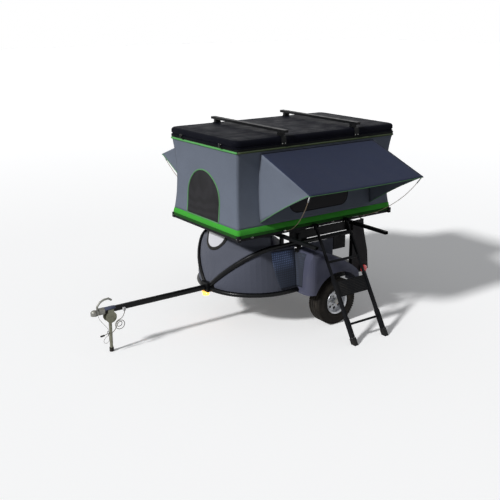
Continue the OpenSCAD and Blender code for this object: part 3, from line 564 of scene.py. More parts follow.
def show_to_background_rays(tree, shown, lighting, target):
    """One shader for camera, gloss and glass rays, which see the backdrop; one for the rest."""
    rays = tree.nodes.new("ShaderNodeLightPath").outputs
    share = rays["Is Camera Ray"]
    for label in ("Is Glossy Ray", "Is Transmission Ray"):
        share = add_node(tree, "Math", {0: share, 1: rays[label]}, operation="MAXIMUM")
    mixed = add_node(tree, "MixShader", {0: share, 1: lighting, 2: shown})
    tree.links.new(mixed, tree.nodes[target].inputs["Surface"])


def make_light():
    """A low sun from ahead and a soft fill, in a white surround."""
    world = bpy.data.worlds.new("world")
    bpy.context.scene.world = world
    world.use_nodes = True
    fill = world.node_tree.nodes["Background"]
    fill.inputs["Color"].default_value = FILL_COLOR
    fill.inputs["Strength"].default_value = FILL_POWER
    white = add_node(world.node_tree, "Background", {"Color": (1, 1, 1, 1), "Strength": 1.0})
    show_to_background_rays(world.node_tree, white, fill.outputs[0], "World Output")
    data = bpy.data.lights.new("key", "SUN")
    data.energy, data.angle = SUN_POWER, SUN_SPREAD
    add_aimed("key", data, SUN_AIM)


def make_floor():
    """A pale floor that keeps the shadow; it looks whiter than the light it sends back."""
    made = Finish("floor", FLOOR_COLOR, 0.9, Specular_IOR_Level=0.0)
    reach = made.node("VectorMath", {0: made.place}, "Value", operation="LENGTH")
    glow = made.node("Emission", {"Strength": made.ramp(reach, *GLOW_SPREAD, *GLOW_POWER)})
    pale = made.node("BsdfDiffuse", {"Color": (1, 1, 1, 1)})
    both = made.node("AddShader", {0: pale, 1: glow})
    show_to_background_rays(made.tree, both, made.bsdf.outputs[0], "Material Output")
    mesh = bpy.data.meshes.new("floor")
    mesh.from_pydata([(x * FLOOR_HALF, y * FLOOR_HALF, 0)
                      for x, y in ((-1, -1), (1, -1), (1, 1), (-1, 1))], [], [(0, 1, 2, 3)])
    mesh.materials.append(made.material)
    add_object("floor", mesh)


# Cords, their routes in millimetres from the tent's middle

LIGHT_D, BREAKAWAY_D = 0.007, 0.004
LIGHT_ROUTE = [
    (2012, 46, 416), (2014, 48, 400), (2028, 51, 372), (2048, 53, 350), (2078, 54, 338),
    (2106, 54, 324), (2121, 54, 292), (2108, 54, 254), (2072, 54, 237), (2036, 54, 250),
    (2021, 55, 286), (2036, 58, 318), (2064, 62, 332), (2094, 64, 331), (2113, 66, 308),
    (2106, 67, 281), (2082, 67, 273), (2060, 66, 285), (2056, 66, 308), (2074, 70, 324),
    (2100, 72, 312), (2118, 68, 280), (2132, 62, 246), (2158, 58, 222), (2190, 56, 219),
    (2220, 56, 217), (2246, 56, 210)]
BREAKAWAY_ROUTE = [
    (2282, 12, 414.7), (2281, 18, 396), (2272, 34, 368), (2254, 48, 338), (2230, 56, 306),
    (2209, 58, 276), (2203, 57, 258), (2202, 56, 246.5)]
BREAKAWAY_LOOP = [
    (2202, 53, 208.7), (2198, 53, 190), (2194, 55, 162), (2202, 57, 138), (2220, 58, 124),
    (2242, 58, 126), (2255, 59, 144), (2250, 60, 168), (2232, 60, 188), (2210, 60, 200),
    (2202, 59.5, 208.7)]


def cord_path(route):
    return catmull([Vector((x / 1000 + TENT_X, y / 1000, z / 1000)) for x, y, z in route], 6)


def make_cord(name, path, diameter, sides, material, node=None):
    made = tube(name, path, diameter / 2, material, sides=sides)
    if node:
        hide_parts(node)


def make_cords():
    make_cord("light-cable", cord_path(LIGHT_ROUTE), LIGHT_D, 12, CABLE,
              "light_cable")
    make_cord("breakaway-cable", cord_path(BREAKAWAY_ROUTE), BREAKAWAY_D, 10, WIRE,
              "breakaway_cable")
    loop = cord_path(BREAKAWAY_LOOP)
    crimp_foot = loop[0] + Vector((0, 0.003, -0.013))
    crimp = piece("breakaway-crimp", [disc_parts(crimp_foot, (0, 0, 1), 0.0055, 0.011, 16)],
                  WIRE)
    make_cord("breakaway-loop", loop, BREAKAWAY_D, 10, WIRE)


# Tent cloth: side 0 is the front wall, 1 the left, 2 the rear and 3 the right

SIDES = ("front", "left", "rear", "right")
MOST_PROUD = 0.012
SKIRT_LAP, SHADE_BAND_LAP, BAND_LAP = 0.012, 0.0145, 0.010
SHADE_BAND_FOOT_Z = 1.113
NET_ROWS, NET_COLS = 26, 18
ARCH = {"half": 0.300, "spring_z": 1.398, "middle": -0.032}
SIDE_WINDOW = {"half": 0.400, "low_z": 1.265, "top_z": 1.825, "corner": 0.110, "middle": -0.035}


def wall_in(side, z):
    """How far a wall's middle height pulls in, at a height."""
    t = (z - WALL_Z0) / (WALL_Z1 - WALL_Z0)
    return (SIDE_SAG if side in (1, 3) else END_SAG) * 4 * t * (1 - t)


def wall_half(side, z):
    if side in (0, 2):
        return WALL_HALF_W - wall_in(1, z)
    return WALL_HALF_L - wall_in(0, z)


def fold_with_lid(made):
    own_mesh(made)


def ripple(u, z, seed):
    """Soft vertical creases, millimetres deep, that fade at the sewn edges."""
    t = min(1, max(0, (z - WALL_Z0) / (WALL_Z1 - WALL_Z0)))
    edge = hump(t) ** 0.6
    wave = (sin(u * 9.1 + seed) + 0.6 * sin(u * 23.7 + seed * 2.3 + z * 3)
            + 0.4 * sin(u * 41 + z * 9 + seed * 5))
    return 0.0016 * edge * wave


def cloth_out(side, u, z):
    """How far the cloth stands off its mean line at a spot, in metres."""
    half = wall_half(side, z)
    share = min(1, max(0, (u + half) / (2 * half)))
    return ripple(u, z, side * 1.7) * hump(share) ** 0.5


def wall_point(side, u, z, out):
    """A point on a wall's cloth, u along the wall, lifted off it."""
    depth = wall_in(side, z) - cloth_out(side, u, z) - out
    sign = 1 if side < 2 else -1
    if side in (0, 2):
        return Vector((TENT_X + sign * (WALL_HALF_L - depth), u, z))
    return Vector((TENT_X + u, sign * (WALL_HALF_W - depth), z))


def ring_band(name, z0, z1, rows, material, node=None, proud=0.0, bulge=False):
    """A band of cloth right round the tent between two heights."""
    turns = ((0, -1, 1, 40), (1, 1, -1, 64), (2, 1, -1, 40), (3, -1, 1, 64))
    rings = []
    for r in range(rows + 1):
        t = r / rows
        z = z0 + (z1 - z0) * t
        out = proud + (0.004 * hump(t) + 0.002 * (1 - t) if bulge else 0)
        ring = []
        for side, first, last, cols in turns:
            for share in (first + (last - first) * c / cols for c in range(cols)):
                u = wall_half(side, z) * share
                ring.append(wall_point(side, u, z, min(out, MOST_PROUD - cloth_out(side, u, z))))
        rings.append(ring)
    made = skin(name, rings, material, flip=True, wrap=True, thickness=0.0025, offset=-1.0)
    if node:
        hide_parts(node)
    fold_with_lid(made)


def arch_path(half, spring_z, low_z, middle):
    path = [*run((-half, low_z), (-half, spring_z), 8), *arc(0, spring_z, half, 2, 0, 28),
            *run((half, spring_z), (half, low_z), 8)[1:], (half, low_z)]
    return [(u + middle, z) for u, z in path]


def side_window_path(half, low_z, top_z, corner, middle):
    inner, foot = half - corner, low_z + corner
    path = [*run((-half, top_z), (-half, foot), 8), *arc(-inner, foot, corner, 2, 3, 10),
            *run((-inner, low_z), (inner, low_z), 10)[1:], *arc(inner, foot, corner, -1, 0, 10),
            *run((half, foot), (half, top_z), 8)[1:], (half, top_z)]
    return [(u + middle, z) for u, z in path]


def window_patch(name, side, outline):
    """A mesh inside an outline, filled in rows that follow the wall."""
    low, high = min(z for _, z in outline), max(z for _, z in outline)
    rows = []
    for r in range(NET_ROWS + 1):
        z = min(max(low + (high - low) * r / NET_ROWS, low + 1e-4), high - 1e-4)
        crossing = [u0 + (u1 - u0) * (z - z0) / (z1 - z0)
                    for (u0, z0), (u1, z1) in zip(outline, outline[1:] + outline[:1])
                    if (z0 - z) * (z1 - z) <= 0 and z0 != z1]
        a, b = min(crossing), max(crossing)
        rows.append([wall_point(side, a + (b - a) * c / NET_COLS, z, 0.0025)
                     for c in range(NET_COLS + 1)])
    made = skin(name, rows, MESH, thickness=0.0012)
    fold_with_lid(made)
    return made


def piping(name, side, outline, material, radius, closed=True, out=0.003):
    path = [wall_point(side, u, z, out) for u, z in outline]
    fold_with_lid(tube(name, path, radius, material, closed=closed))


def make_tent_cloth():
    skirt_top, band_low = SKIRT_HIGH.z, BAND_LOW.z
    ring_band("tent-walls", skirt_top - 0.014, band_low, 30, GREY_CLOTH, "tent_walls")
    ring_band("tent-skirt", WALL_Z0 + SKIRT_LAP, skirt_top - 0.010, 12, GREEN_CLOTH,
              "tent_skirt", proud=0.002, bulge=True)
    # A dark green band over the tray's edge: painted shade of the skirt's lower fold
    ring_band("tent-skirt-painted-shade", SHADE_BAND_FOOT_Z, WALL_Z0 + SHADE_BAND_LAP, 6, SKIRT_FOLD_SHADE_CLOTH,
              proud=0.0048)
    ring_band("tent-band", band_low - BAND_LAP, WALL_Z1, 6, SEAM_CLOTH,
              "tent_band", proud=0.003)
    arched = arch_path(low_z=skirt_top - 0.008, **ARCH), PIPING, 0.0075
    wide = side_window_path(**SIDE_WINDOW), DARK_PIPING, 0.0045
    for side, (outline, material, radius) in ((0, arched), (2, arched), (1, wide), (3, wide)):
        made = window_patch(f"{SIDES[side]}-window", side, outline)
        if side == 0:
            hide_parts("tent_windows")
        piping(f"{SIDES[side]}-window-piping", side, outline, material, radius)
    for side, label in enumerate(SIDES):
        half, z = wall_half(side, band_low), band_low - 0.013
        # The long sides' rolls take the darker copy of the roll's colour: painted shade
        piping(f"{label}-roll", side, [*run((-half, z), (half, z), 40), (half, z)],
               ROLL_CLOTH if side in (0, 2) else SIDE_ROLL_SHADE_CLOTH, 0.0115, False, 0.006)


# Lid

LID_HALF_L, LID_HALF_W = (LID_HIGH.x - LID_LOW.x) / 2, (LID_HIGH.y - LID_LOW.y) / 2
LID_CORNER = 0.075
# How far in from the lid's side and up from its rim each line of its section lies
LID_SECTION = [(0.0040, 0.000), (0.0008, 0.002), (0.0, 0.006), (0.0006, 0.013), (0.0090, 0.0155),
               (0.0105, 0.019), (0.0095, 0.025), (0.0012, 0.028), (0.0002, 0.034), (0.0002, 0.052),
               (0.0012, 0.0600), (0.0045, 0.0680), (0.0100, 0.0750), (0.0180, 0.0800),
               (0.0280, 0.0826), (0.0400, 0.0832), (0.0480, 0.0828), (0.0540, 0.0806),
               (0.0640, 0.0806), (0.0700, 0.0826), (0.0760, 0.0832), (0.3000, 0.0838)]
# Each latch part's start and end outwards, half its width, and its foot and top over the rim
LATCH_PLATE, LATCH_LEVER = (0, 0.004, 0.024, 0.001, 0.030), (0.003, 0.013, 0.017, -0.010, 0.020)
LATCH_Y, LATCH_BOLT_Y, LATCH_BOLT_RISE = 0.36, 0.018, 0.025
BAR_INSET, STRAP_HALF, STRAP_BOLT_X, STRAP_BOLT_Y = 0.027, 0.030, 0.019, 0.556


def make_lid():
    """The hard shell: a lower flange, a seam, a rounded shoulder and a pressed top."""
    rings = [rounded_ring(LID_HALF_L - inset, LID_HALF_W - inset,
                          max(LID_CORNER - inset * 0.6, 0.02), LID_LOW.z + rise)
             for inset, rise in LID_SECTION]
    made = skin("lid-shell", rings, LID, "lid", wrap=True, capped=True, thickness=0.004,
                offset=-1.0)
    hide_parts("lid_shell")
    sharpen(made, 42)
    under = [rounded_ring(LID_HALF_L - inset, LID_HALF_W - inset, LID_CORNER, LID_LOW.z + 0.0015)
             for inset in (0.004, 0.060)]
    skin("lid-flange", under, LID, "lid", wrap=True, thickness=0.003, offset=1.0)


def latch_part(end, y, near, far, half, foot, top):
    x = TENT_X + end * LID_HALF_L
    return block_parts((x + end * near, y - half, LID_LOW.z + foot),
                       (x + end * far, y + half, LID_LOW.z + top))


def make_latches():
    """Two over-centre latches on each end of the lid."""
    spots = [(end, y) for end in (1, -1) for y in (-LATCH_Y, LATCH_Y)]
    plates = [latch_part(end, y, *LATCH_PLATE) for end, y in spots]
    levers = [latch_part(end, y, *LATCH_LEVER) for end, y in spots]
    bolts = [bolt_parts((TENT_X + end * (LID_HALF_L + LATCH_PLATE[1]), y + dy,
                         LID_LOW.z + LATCH_BOLT_RISE), (end, 0, 0), 0.0035)
             for end, y in spots for dy in (-LATCH_BOLT_Y, LATCH_BOLT_Y)]
    made = piece("latch-plates", plates, SATIN_BLACK, "lid")
    add_modifier(made, "BEVEL", width=0.001, segments=2)
    made = piece("latch-levers", levers, SATIN_BLACK, "lid")
    add_modifier(made, "BEVEL", width=0.003, segments=3)
    piece("latch-bolts", bolts, BOLT, "lid", False)


def make_bar_brackets():
    """Bent straps that carry the roof bars' feet over the lid's long edges."""
    low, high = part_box("roof_bars")
    rim, top, side = LID_LOW.z, LID_LOW.z + LID_SECTION[-1][1], LID_HALF_W
    section = [(0.540, top + 0.002), (side - 0.030, top + 0.002), (side - 0.014, top - 0.004),
               (side - 0.001, top - 0.020), (side + 0.0015, top - 0.034),
               (side + 0.0015, rim + 0.004)]
    straps, bolts = [], []
    for bar_x in (high.x - BAR_INSET, low.x + BAR_INSET):
        for sign in (1, -1):
            verts = [Vector((bar_x + dx, sign * y, z))
                     for y, z in section for dx in (-STRAP_HALF, -0.010, 0.010, STRAP_HALF)]
            quads = grid_faces(len(section), 4)
            straps.append((verts, quads if sign > 0 else flipped(quads)))
            for dx in (-STRAP_BOLT_X, STRAP_BOLT_X):
                bolts.append(bolt_parts((bar_x + dx, sign * (side + 0.004), rim + 0.012),
                                        (0, sign, 0), 0.0055))
                bolts.append(bolt_parts((bar_x + dx, sign * STRAP_BOLT_Y, top + 0.0045),
                                        (0, 0, 1), 0.005))
    made = piece("roof-bar-brackets", straps, SATIN_BLACK, "lid")
    add_modifier(made, "SOLIDIFY", thickness=0.0032, offset=1.0)
    sharpen(made, 40)
    piece("roof-bar-bolts", bolts, BOLT, "lid", False)


# Tray trim, at heights above the tray's underside

# How far out from the tray's side and up from its underside each line of the edge lies
TRAY_EDGE = [(-0.014, -0.0155), (0.0005, -0.0165), (0.0030, -0.0135), (0.0030, 0.0),
             (0.0012, 0.0020), (0.0012, 0.0050), (0.0030, 0.0065), (0.0030, 0.0110),
             (0.0012, 0.0120)]
CAP_OUT_X, CAP_OUT_Y = 0.007, 0.022
EYELET_PLACES, EYELET_R, EYELET_WIRE_R = (0.860, 0.438, -0.200, -0.644, -0.839), 0.007, 0.0018


def make_tray_trim():
    """The tray's rolled edge channel, with its corner caps and tie eyelets."""
    half_l, half_w = (TRAY_HIGH.x - TRAY_LOW.x) / 2, (TRAY_HIGH.y - TRAY_LOW.y) / 2
    foot = TRAY_LOW.z
    rings = [rounded_ring(half_l + grow, half_w + grow, 0.020 + max(grow, -0.01), foot + rise, 5)
             for grow, rise in TRAY_EDGE]
    made = skin("tray-edge", rings, TRAY, wrap=True, thickness=0.002, offset=-1.0)
    sharpen(made, 40)
    caps, eyelets, bolts = [], [], []
    for ex in (1, -1):
        for ey in (1, -1):
            x, y = TENT_X + ex * (half_l + CAP_OUT_X), ey * (half_w + CAP_OUT_Y)
            caps.append(block_parts((x - ex * 0.037, y - ey * 0.044, foot - 0.0195),
                                    (x, y, foot + 0.0385)))
            bolts.append(bolt_parts((x - ex * 0.017, y, foot + 0.010), (0, ey, 0), 0.005))
            bolts.append(bolt_parts((x, y - ey * 0.034, foot + 0.010), (ex, 0, 0), 0.005))
    for sign in (1, -1):
        for x in EYELET_PLACES:
            spot = Vector((TENT_X + x, sign * (half_w + 0.004), foot + 0.006))
            ring = [spot + Vector((EYELET_R * cos(a), sign * 0.001, EYELET_R * sin(a)))
                    for a in angles(16)]
            eyelets.append(tube_mesh(ring, EYELET_WIRE_R, 6, True))
            bolts.append(bolt_parts(spot + Vector((0.020, 0, 0)), (0, sign, 0), 0.004))
    made = piece("tray-corner-caps", caps, TRAY)
    add_modifier(made, "BEVEL", width=0.006, segments=3)
    piece("tray-eyelets", eyelets, BOLT)
    piece("tray-bolts", bolts, BOLT, "root", False)


# Awnings: each slopes from the wall to its tip line, over a triangle at each end

AWNING_HALF = (AWNING_HIGH.x - AWNING_LOW.x) / 2
AWNING_TOP_Z, AWNING_TIP_Z, GUSSET_LOW_Z = 1.926, 1.644, 1.235
AWNING_WALL_Y = WALL_HALF_W - wall_in(1, AWNING_TOP_Z) + 0.0015
AWNING_REACH = AWNING_HIGH.y - 0.002
TIP_BOW, ROD_BOW, ROD_FOOT = 0.012, 0.095, 0.470


def make_awning(sign, label):
    def spot(t, s):
        middle = hump(s)
        sag = 0.020 * middle * hump(t * 0.85)
        crease = 0.0022 * sin(s * 34 + t * 5) * hump(t) ** 0.7
        y = AWNING_WALL_Y + (AWNING_REACH - AWNING_WALL_Y) * t - TIP_BOW * middle * t
        z = AWNING_TOP_Z + (AWNING_TIP_Z - AWNING_TOP_Z) * t - sag + crease - 0.0015
        x = TENT_X + AWNING_HALF * (2 * s - 1) * (1 - 0.006 * hump(t))
        return Vector((x, sign * y, z))

    made = skin(f"{label}-awning", points_grid(22, 40, spot), AWNING_CLOTH,
                flip=sign > 0, thickness=0.002)
    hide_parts(f"awning_{label}")
    fold_with_lid(made)
    make_gusset(sign, label, -1, "rear")
    make_gusset(sign, label, 1, "front")
    hem = [Vector((TENT_X + AWNING_HALF * (2 * s - 1),
                   sign * (AWNING_REACH - 0.004 - TIP_BOW * hump(s)),
                   AWNING_TIP_Z - 0.010 * hump(s) - 0.006))
           for s in shares(30)]
    fold_with_lid(tube(f"{label}-awning-hem", hem, 0.0045, PIPING))


def make_gusset(sign, label, end, tag):
    """A triangle from the awning's tip to the wall, pulled in along its free edges."""
    x = TENT_X + end * (AWNING_HALF - 0.0015)
    tip = Vector((x, AWNING_REACH, AWNING_TIP_Z))

    def spot(t, s):
        z = AWNING_TOP_Z + (GUSSET_LOW_Z - AWNING_TOP_Z) * t
        p = Vector((x, WALL_HALF_W - wall_in(1, z) + 0.0015, z)).lerp(tip, s)
        hollow = 0.010 * hump(s) * hump(t)
        fold = 0.003 * sin(t * 19 + s * 3) * (1 - s) * hump(t)
        lift = TIP_BOW * hump(s) if t == 1 else 0
        return Vector((p.x - end * (hollow + abs(fold)), sign * p.y, p.z + lift))

    made = skin(f"{label}-gusset-{tag}", points_grid(16, 20, spot), GREY_CLOTH,
                flip=sign * end > 0)
    add_modifier(made, "WELD", merge_threshold=0.0004)
    add_modifier(made, "SOLIDIFY", thickness=0.002, offset=0.0)
    fold_with_lid(made)
    wall_y = WALL_HALF_W - wall_in(1, GUSSET_LOW_Z) + 0.004
    edge = [Vector((x, sign * (wall_y + (AWNING_REACH - WALL_HALF_W) * s),
                    GUSSET_LOW_Z + (AWNING_TIP_Z - GUSSET_LOW_Z) * s
                    + TIP_BOW * hump(s))) for s in shares(20)]
    fold_with_lid(tube(f"{label}-gusset-piping-{tag}", edge, 0.0045, PIPING))


def bowed_path(start, end, bow, steps=24):
    """A circular bow that hangs below the straight line between two points."""
    start, end = Vector(start), Vector(end)
    length = (end - start).length
    radius = length * length / (8 * bow) + bow / 2
    along = (end - start).normalized()
    side = along.cross(Vector((0, 0, 1))).normalized()
    down = along.cross(side).normalized()
    centre = (start + end) / 2 - down * (radius - bow)
    half = asin(length / 2 / radius)
    return [centre + radius * (down * cos(a) + along * sin(a))
            for a in (-half + 2 * half * k / steps for k in range(steps + 1))]


def make_rods():
    """Spring rods from the tray's sides to the awnings' tips, with plastic ends."""
    rods, grips = [], []
    for sign in (1, -1):
        for end in (1, -1):
            tip = TENT_X + end * (AWNING_HALF - 0.012), AWNING_HIGH.y - 0.016, AWNING_TIP_Z - 0.006
            foot = TENT_X + end * ROD_FOOT, TRAY_HIGH.y + 0.0015, (TRAY_LOW.z + TRAY_HIGH.z) / 2
            path = [Vector((p.x, sign * p.y, p.z)) for p in bowed_path(tip, foot, ROD_BOW)]
            rods.append(tube_mesh(path, 0.003))
            grips += [tube_mesh(path[:3], 0.006), tube_mesh(path[-3:], 0.0055)]
    made = piece("awning-rods", rods, SPRING)
    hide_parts("awning_rods")
    fold_with_lid(made)
    fold_with_lid(piece("awning-rod-ends", grips, CLIP))


# Wheels

BEAD_R, GROOVE, LUG_COUNT = 0.1285, 0.007, 60
NUT_CIRCLE_R, NUT_COUNT, NUT_TURN, NUT_OUT = 0.0508, 5, 0.3, 0.040
# The hub cap's two discs, and how far out and how thick they are
CAP_RADII, CAP_OUT, CAP_STEP = (0.030, 0.026), 0.076, 0.004


def wheel_spot(centre, radius, angle, along):
    return Vector((centre.x + radius * sin(angle), centre.y + along, centre.z + radius * cos(angle)))


def tyre_profile(outer, half):
    """(radius, along) pairs round the tyre's section: bead, side wall, grooved tread."""
    side = [(BEAD_R, -half + 0.018), (BEAD_R + 0.012, -half + 0.010),
            (BEAD_R + 0.022, -half + 0.004), (BEAD_R + 0.026, -half + 0.007),
            (BEAD_R + 0.045, -half + 0.001), (BEAD_R + 0.075, -half + 0.002),
            (BEAD_R + 0.079, -half + 0.005), (BEAD_R + 0.100, -half + 0.004)]
    side += [(outer - 0.028 + 0.026 * sin(a), -half + 0.034 - 0.030 * cos(a))
             for a in (pi / 2 * k / 7 for k in range(1, 7))]
    tread = []
    for y in (-0.052, -0.018, 0.018, 0.052):
        crown = outer - 0.10 * y * y / half
        tread += [(crown, y - 0.004), (crown - GROOVE, y - 0.003), (crown - GROOVE, y + 0.003),
                  (crown, y + 0.004)]
    return side + tread + [(r, -y) for r, y in reversed(side)]


def make_tyre(sign, label):
    low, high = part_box(f"tyre_{label}")
    centre, half, outer = (low + high) / 2, (high.y - low.y) / 2, (high.z - low.z) / 2
    body = f"wheel_{label}"
    rings = [[wheel_spot(centre, r, a, sign * y) for r, y in tyre_profile(outer - 0.0005, half)]
             for a in angles(96)]
    made = skin(f"tyre-{label}", rings + rings[:1], TYRE, body, flip=sign < 0, wrap=True)
    sharpen(made, 40)
    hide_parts(f"tyre_{label}")
    lug = [(outer - 0.020, 0.086), (outer - 0.006, 0.0835), (outer - 0.0005, 0.070),
           (outer - 0.0002, 0.058), (outer - 0.008, 0.058)]
    sides = [(i, (i + 1) % 5, 5 + (i + 1) % 5, 5 + i) for i in range(5)]
    lugs = []
    for k in range(LUG_COUNT):
        for side in (-1, 1):
            start = tau * (k + 0.12 + (0.5 if side > 0 else 0)) / LUG_COUNT
            lugs.append(([wheel_spot(centre, r, a, side * y)
                          for a in (start, start + tau * 0.70 / LUG_COUNT) for r, y in lug],
                         sides + [(4, 3, 2, 1, 0), (5, 6, 7, 8, 9)]))
    piece(f"tyre-shoulder-{label}", lugs, TYRE, body, False)


def make_rim(sign, label):
    finish_node(f"rim_{label}", ALLOY, 0.0015)
    low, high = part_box(f"tyre_{label}")
    centre = (low + high) / 2
    body, axis = f"wheel_{label}", (0, sign, 0)
    nuts = [bolt_parts(wheel_spot(centre, NUT_CIRCLE_R, a + NUT_TURN, sign * NUT_OUT), axis, 0.010)
            for a in angles(NUT_COUNT)]
    piece(f"lug-nuts-{label}", nuts, BOLT, body, False)
    cap = [disc_parts(wheel_spot(centre, 0, 0, sign * (CAP_OUT + k * CAP_STEP)), axis, radius,
                      CAP_STEP, 32) for k, radius in enumerate(CAP_RADII)]
    piece(f"hub-cap-{label}", cap, BOLT, body, False)


# Nose: its skin bows forward between the upper rails, with a D-shaped window at its top

NOSE_X, NOSE_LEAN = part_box("nose_panel")[1].x + 0.0035, 0.100
NOSE_FOOT_Z, NOSE_RISE, SKIN_FOOT_Z = 0.430, 0.570, 0.498
PANE_R, PANE_Z, PANE_TOP, RIM_TOP = 0.158, 1.0285, 1.0270, 1.0335


def nose_levels():
    """The heights of the nose panel's edge rows, each with its edge's x and y."""
    rows = {}
    for vertex in NODES["nose_panel"].data.vertices:
        rows.setdefault(round(vertex.co.z, 3), []).append((abs(vertex.co.y), vertex.co.x))
    kept = []
    for z, row in sorted(rows.items()):
        y, x = max(row)
        if len(row) >= 30 and (not kept or y >= kept[-1][2] - 0.001):
            kept.append((z, x, y))
    rise = (kept[1][2] - kept[0][2]) / (kept[1][0] - kept[0][0])
    foot_y = kept[0][2] - rise * (kept[0][0] - SKIN_FOOT_Z)
    return [(SKIN_FOOT_Z, kept[0][1] + 0.006, foot_y)] + kept


def nose_edge(levels, z):
    """x and y of the nose skin's edge at a height."""
    heights, xs, ys = zip(*levels)
    return np.interp(z, heights, xs), np.interp(z, heights, ys)


def nose_spot(levels, share, z, out=0.0):
    """A point of the nose skin: share runs from -1 to 1 across it."""
    edge_x, edge_y = nose_edge(levels, z)
    front = NOSE_X - NOSE_LEAN * ((z - NOSE_FOOT_Z) / NOSE_RISE) ** 2
    crown = 1 - share * share
    crease = 0.0018 * sin(share * 11 + z * 17) * crown ** 0.5
    return Vector((edge_x + (front - edge_x) * crown + out + crease, edge_y * share, z))


def nose_at(levels, y, z, out):
    return nose_spot(levels, y / nose_edge(levels, z)[1], z, out)


def pane_outline(radius, top):
    """The D of the nose window in the y and z plane, straight edge on top."""
    start = asin(min(0.0, top - PANE_Z) / radius) / (pi / 2)
    bow = arc(0, PANE_Z, radius, start, -2 - start, 44)
    return bow + run((bow[-1][0], top), (bow[0][0], top), 12)[1:]


def make_nose():
    """The stretched nose skin, its window pane and the window's thick rim."""
    levels = nose_levels()
    low, high = levels[0][0], levels[-1][0]
    rows = points_grid(44, 40, lambda t, s: nose_spot(levels, 2 * s - 1, low + (high - low) * t))
    nose = skin("nose-skin", rows, NOSE_CLOTH)
    # The skin's inner side takes the darker inner-face cloth
    nose.data.materials.append(INNER_FACE_CLOTH)
    add_modifier(nose, "SOLIDIFY", thickness=0.003, offset=-1.0, material_offset=1)
    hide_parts("nose_panel")

    def pane_spot(t, s):
        z = PANE_Z - PANE_R * cos(pi / 2 * t) if t < 1 else PANE_TOP
        half = sqrt(max(PANE_R ** 2 - (z - PANE_Z) ** 2, 1e-6))
        return nose_at(levels, half * (2 * s - 1), z, 0.0025)

    made = skin("nose-pane", points_grid(16, 18, pane_spot), WINDOW,
                thickness=0.0012, offset=-1.0)
    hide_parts("nose_window")
    rim = [[nose_at(levels, y, z, out)
            for y, z in pane_outline(PANE_R + grow, min(PANE_TOP + grow, RIM_TOP))]
           for grow, out in ((-0.004, 0.002), (-0.003, 0.006), (0.001, 0.008), (0.022, 0.008),
                             (0.026, 0.006), (0.027, 0.002))]
    skin("nose-pane-rim", rim, RUBBER, wrap=True, thickness=0.002)


# Net pockets beside the fenders: x of their rear and front corners from the tent's middle

POCKET_TOP_X, POCKET_LOW_X = (0.275, 0.566), (0.275, 0.470)
POCKET_LOW_Z, POCKET_HEIGHT = 0.452, 0.455
FLAP_TOP_Z, FLAP_Y, FLAP_WIDTH = 0.835, 0.628, 0.050


def make_pocket(sign, label):
    """A net pocket sewn on the side panel, with a bound edge and a flap to the fender."""
    panels, fenders = surface("side_panels"), surface("fenders")

    def spot(t, s):
        low, top = (xs[0] + (xs[1] - xs[0]) * s for xs in (POCKET_LOW_X, POCKET_TOP_X))
        x = low + (top - low) * t + 0.030 * hump(t) * s + TENT_X
        z = POCKET_LOW_Z + (POCKET_HEIGHT + 0.010 * s) * t
        return laid(panels, (x, sign * 1.2, z), (0, -sign, 0), 0.003)

    pocket = [row for row in points_grid(24, 16, spot) if None not in row]
    made = skin(f"{label}-pocket", pocket, POCKET, flip=sign > 0, thickness=0.0015)
    for tag, edge in (("top", pocket[-1]), ("low", pocket[0])):
        bound = [p + Vector((0, sign * 0.002, 0)) for p in edge]
        tube(f"{label}-pocket-edge-{tag}", bound, 0.004, DARK_PIPING)
    strip = []
    for start in (row[0] for row in pocket[:-1]):
        ends = [laid(fenders, (0.5, sign * (FLAP_Y + FLAP_WIDTH * s), start.z), (-1, 0, 0), 0.003)
                for s in shares(4)]
        if start.z < FLAP_TOP_Z and None not in ends:
            first = ends[0] + Vector((0.006, -sign * 0.012, 0))
            strip.append([start.lerp(first, s) for s in shares(4)] + ends)
    flap = skin(f"{label}-pocket-flap", strip, POCKET, thickness=0.0015)


# Lamps, coupler and ladder: the lamps' sections as (radius, height out of their seats)

WING_LENS = [(0.019, 0.0), (0.0195, 0.014), (0.016, 0.022), (0.008, 0.026)]
TAIL_BASE = [(0.045, 0.0), (0.046, 0.004), (0.046, 0.016), (0.043, 0.019)]
TAIL_DOME = [(0.0425, 0.010), (0.0430, 0.024), (0.0405, 0.033), (0.0335, 0.040),
             (0.0220, 0.0455), (0.0080, 0.048)]
SEAL_R, WING_Y, TAIL_DROP = 0.0275, 0.030, 0.030


def make_marker_lamp():
    """The amber lamp under the nose and its seal."""
    low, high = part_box("marker_lamp")
    middle = (low + high) / 2
    finish_node("marker_lamp", AMBER, 0.003)
    ring = [Vector((middle.x + SEAL_R * cos(a), middle.y + SEAL_R * sin(a),
                    high.z - 0.003)) for a in angles(40)]
    tube("marker-lamp-seal", ring, 0.003, RUBBER, closed=True)


def make_wing_lenses():
    """Small side lenses on the nose bracket's foot."""
    low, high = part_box("marker_lamp")
    foot_x = (low.x + high.x) / 2 - 0.004
    wings = [turned_parts((foot_x, sign * WING_Y, high.z - 0.021), (0.35, sign, 0), WING_LENS, 24)
             for sign in (1, -1)]
    piece("marker-wing-lenses", wings, AMBER)


def make_tail_lamps():
    """Domed lenses in rubber bases; the photo has them lower than the CAD node's middle."""
    low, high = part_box("tail_lamps")
    middle = (low + high) / 2
    bases, lenses = ([turned_parts((middle.x - 0.006, sign * (high.y - 0.033),
                                    middle.z - TAIL_DROP), (0, sign, 0), profile)
                      for sign in (1, -1)] for profile in (TAIL_BASE, TAIL_DOME))
    made = piece("tail-lenses", lenses, RED)
    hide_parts("tail_lamps")
    sharpen(made, 50)
    piece("tail-lamp-bases", bases, RUBBER)


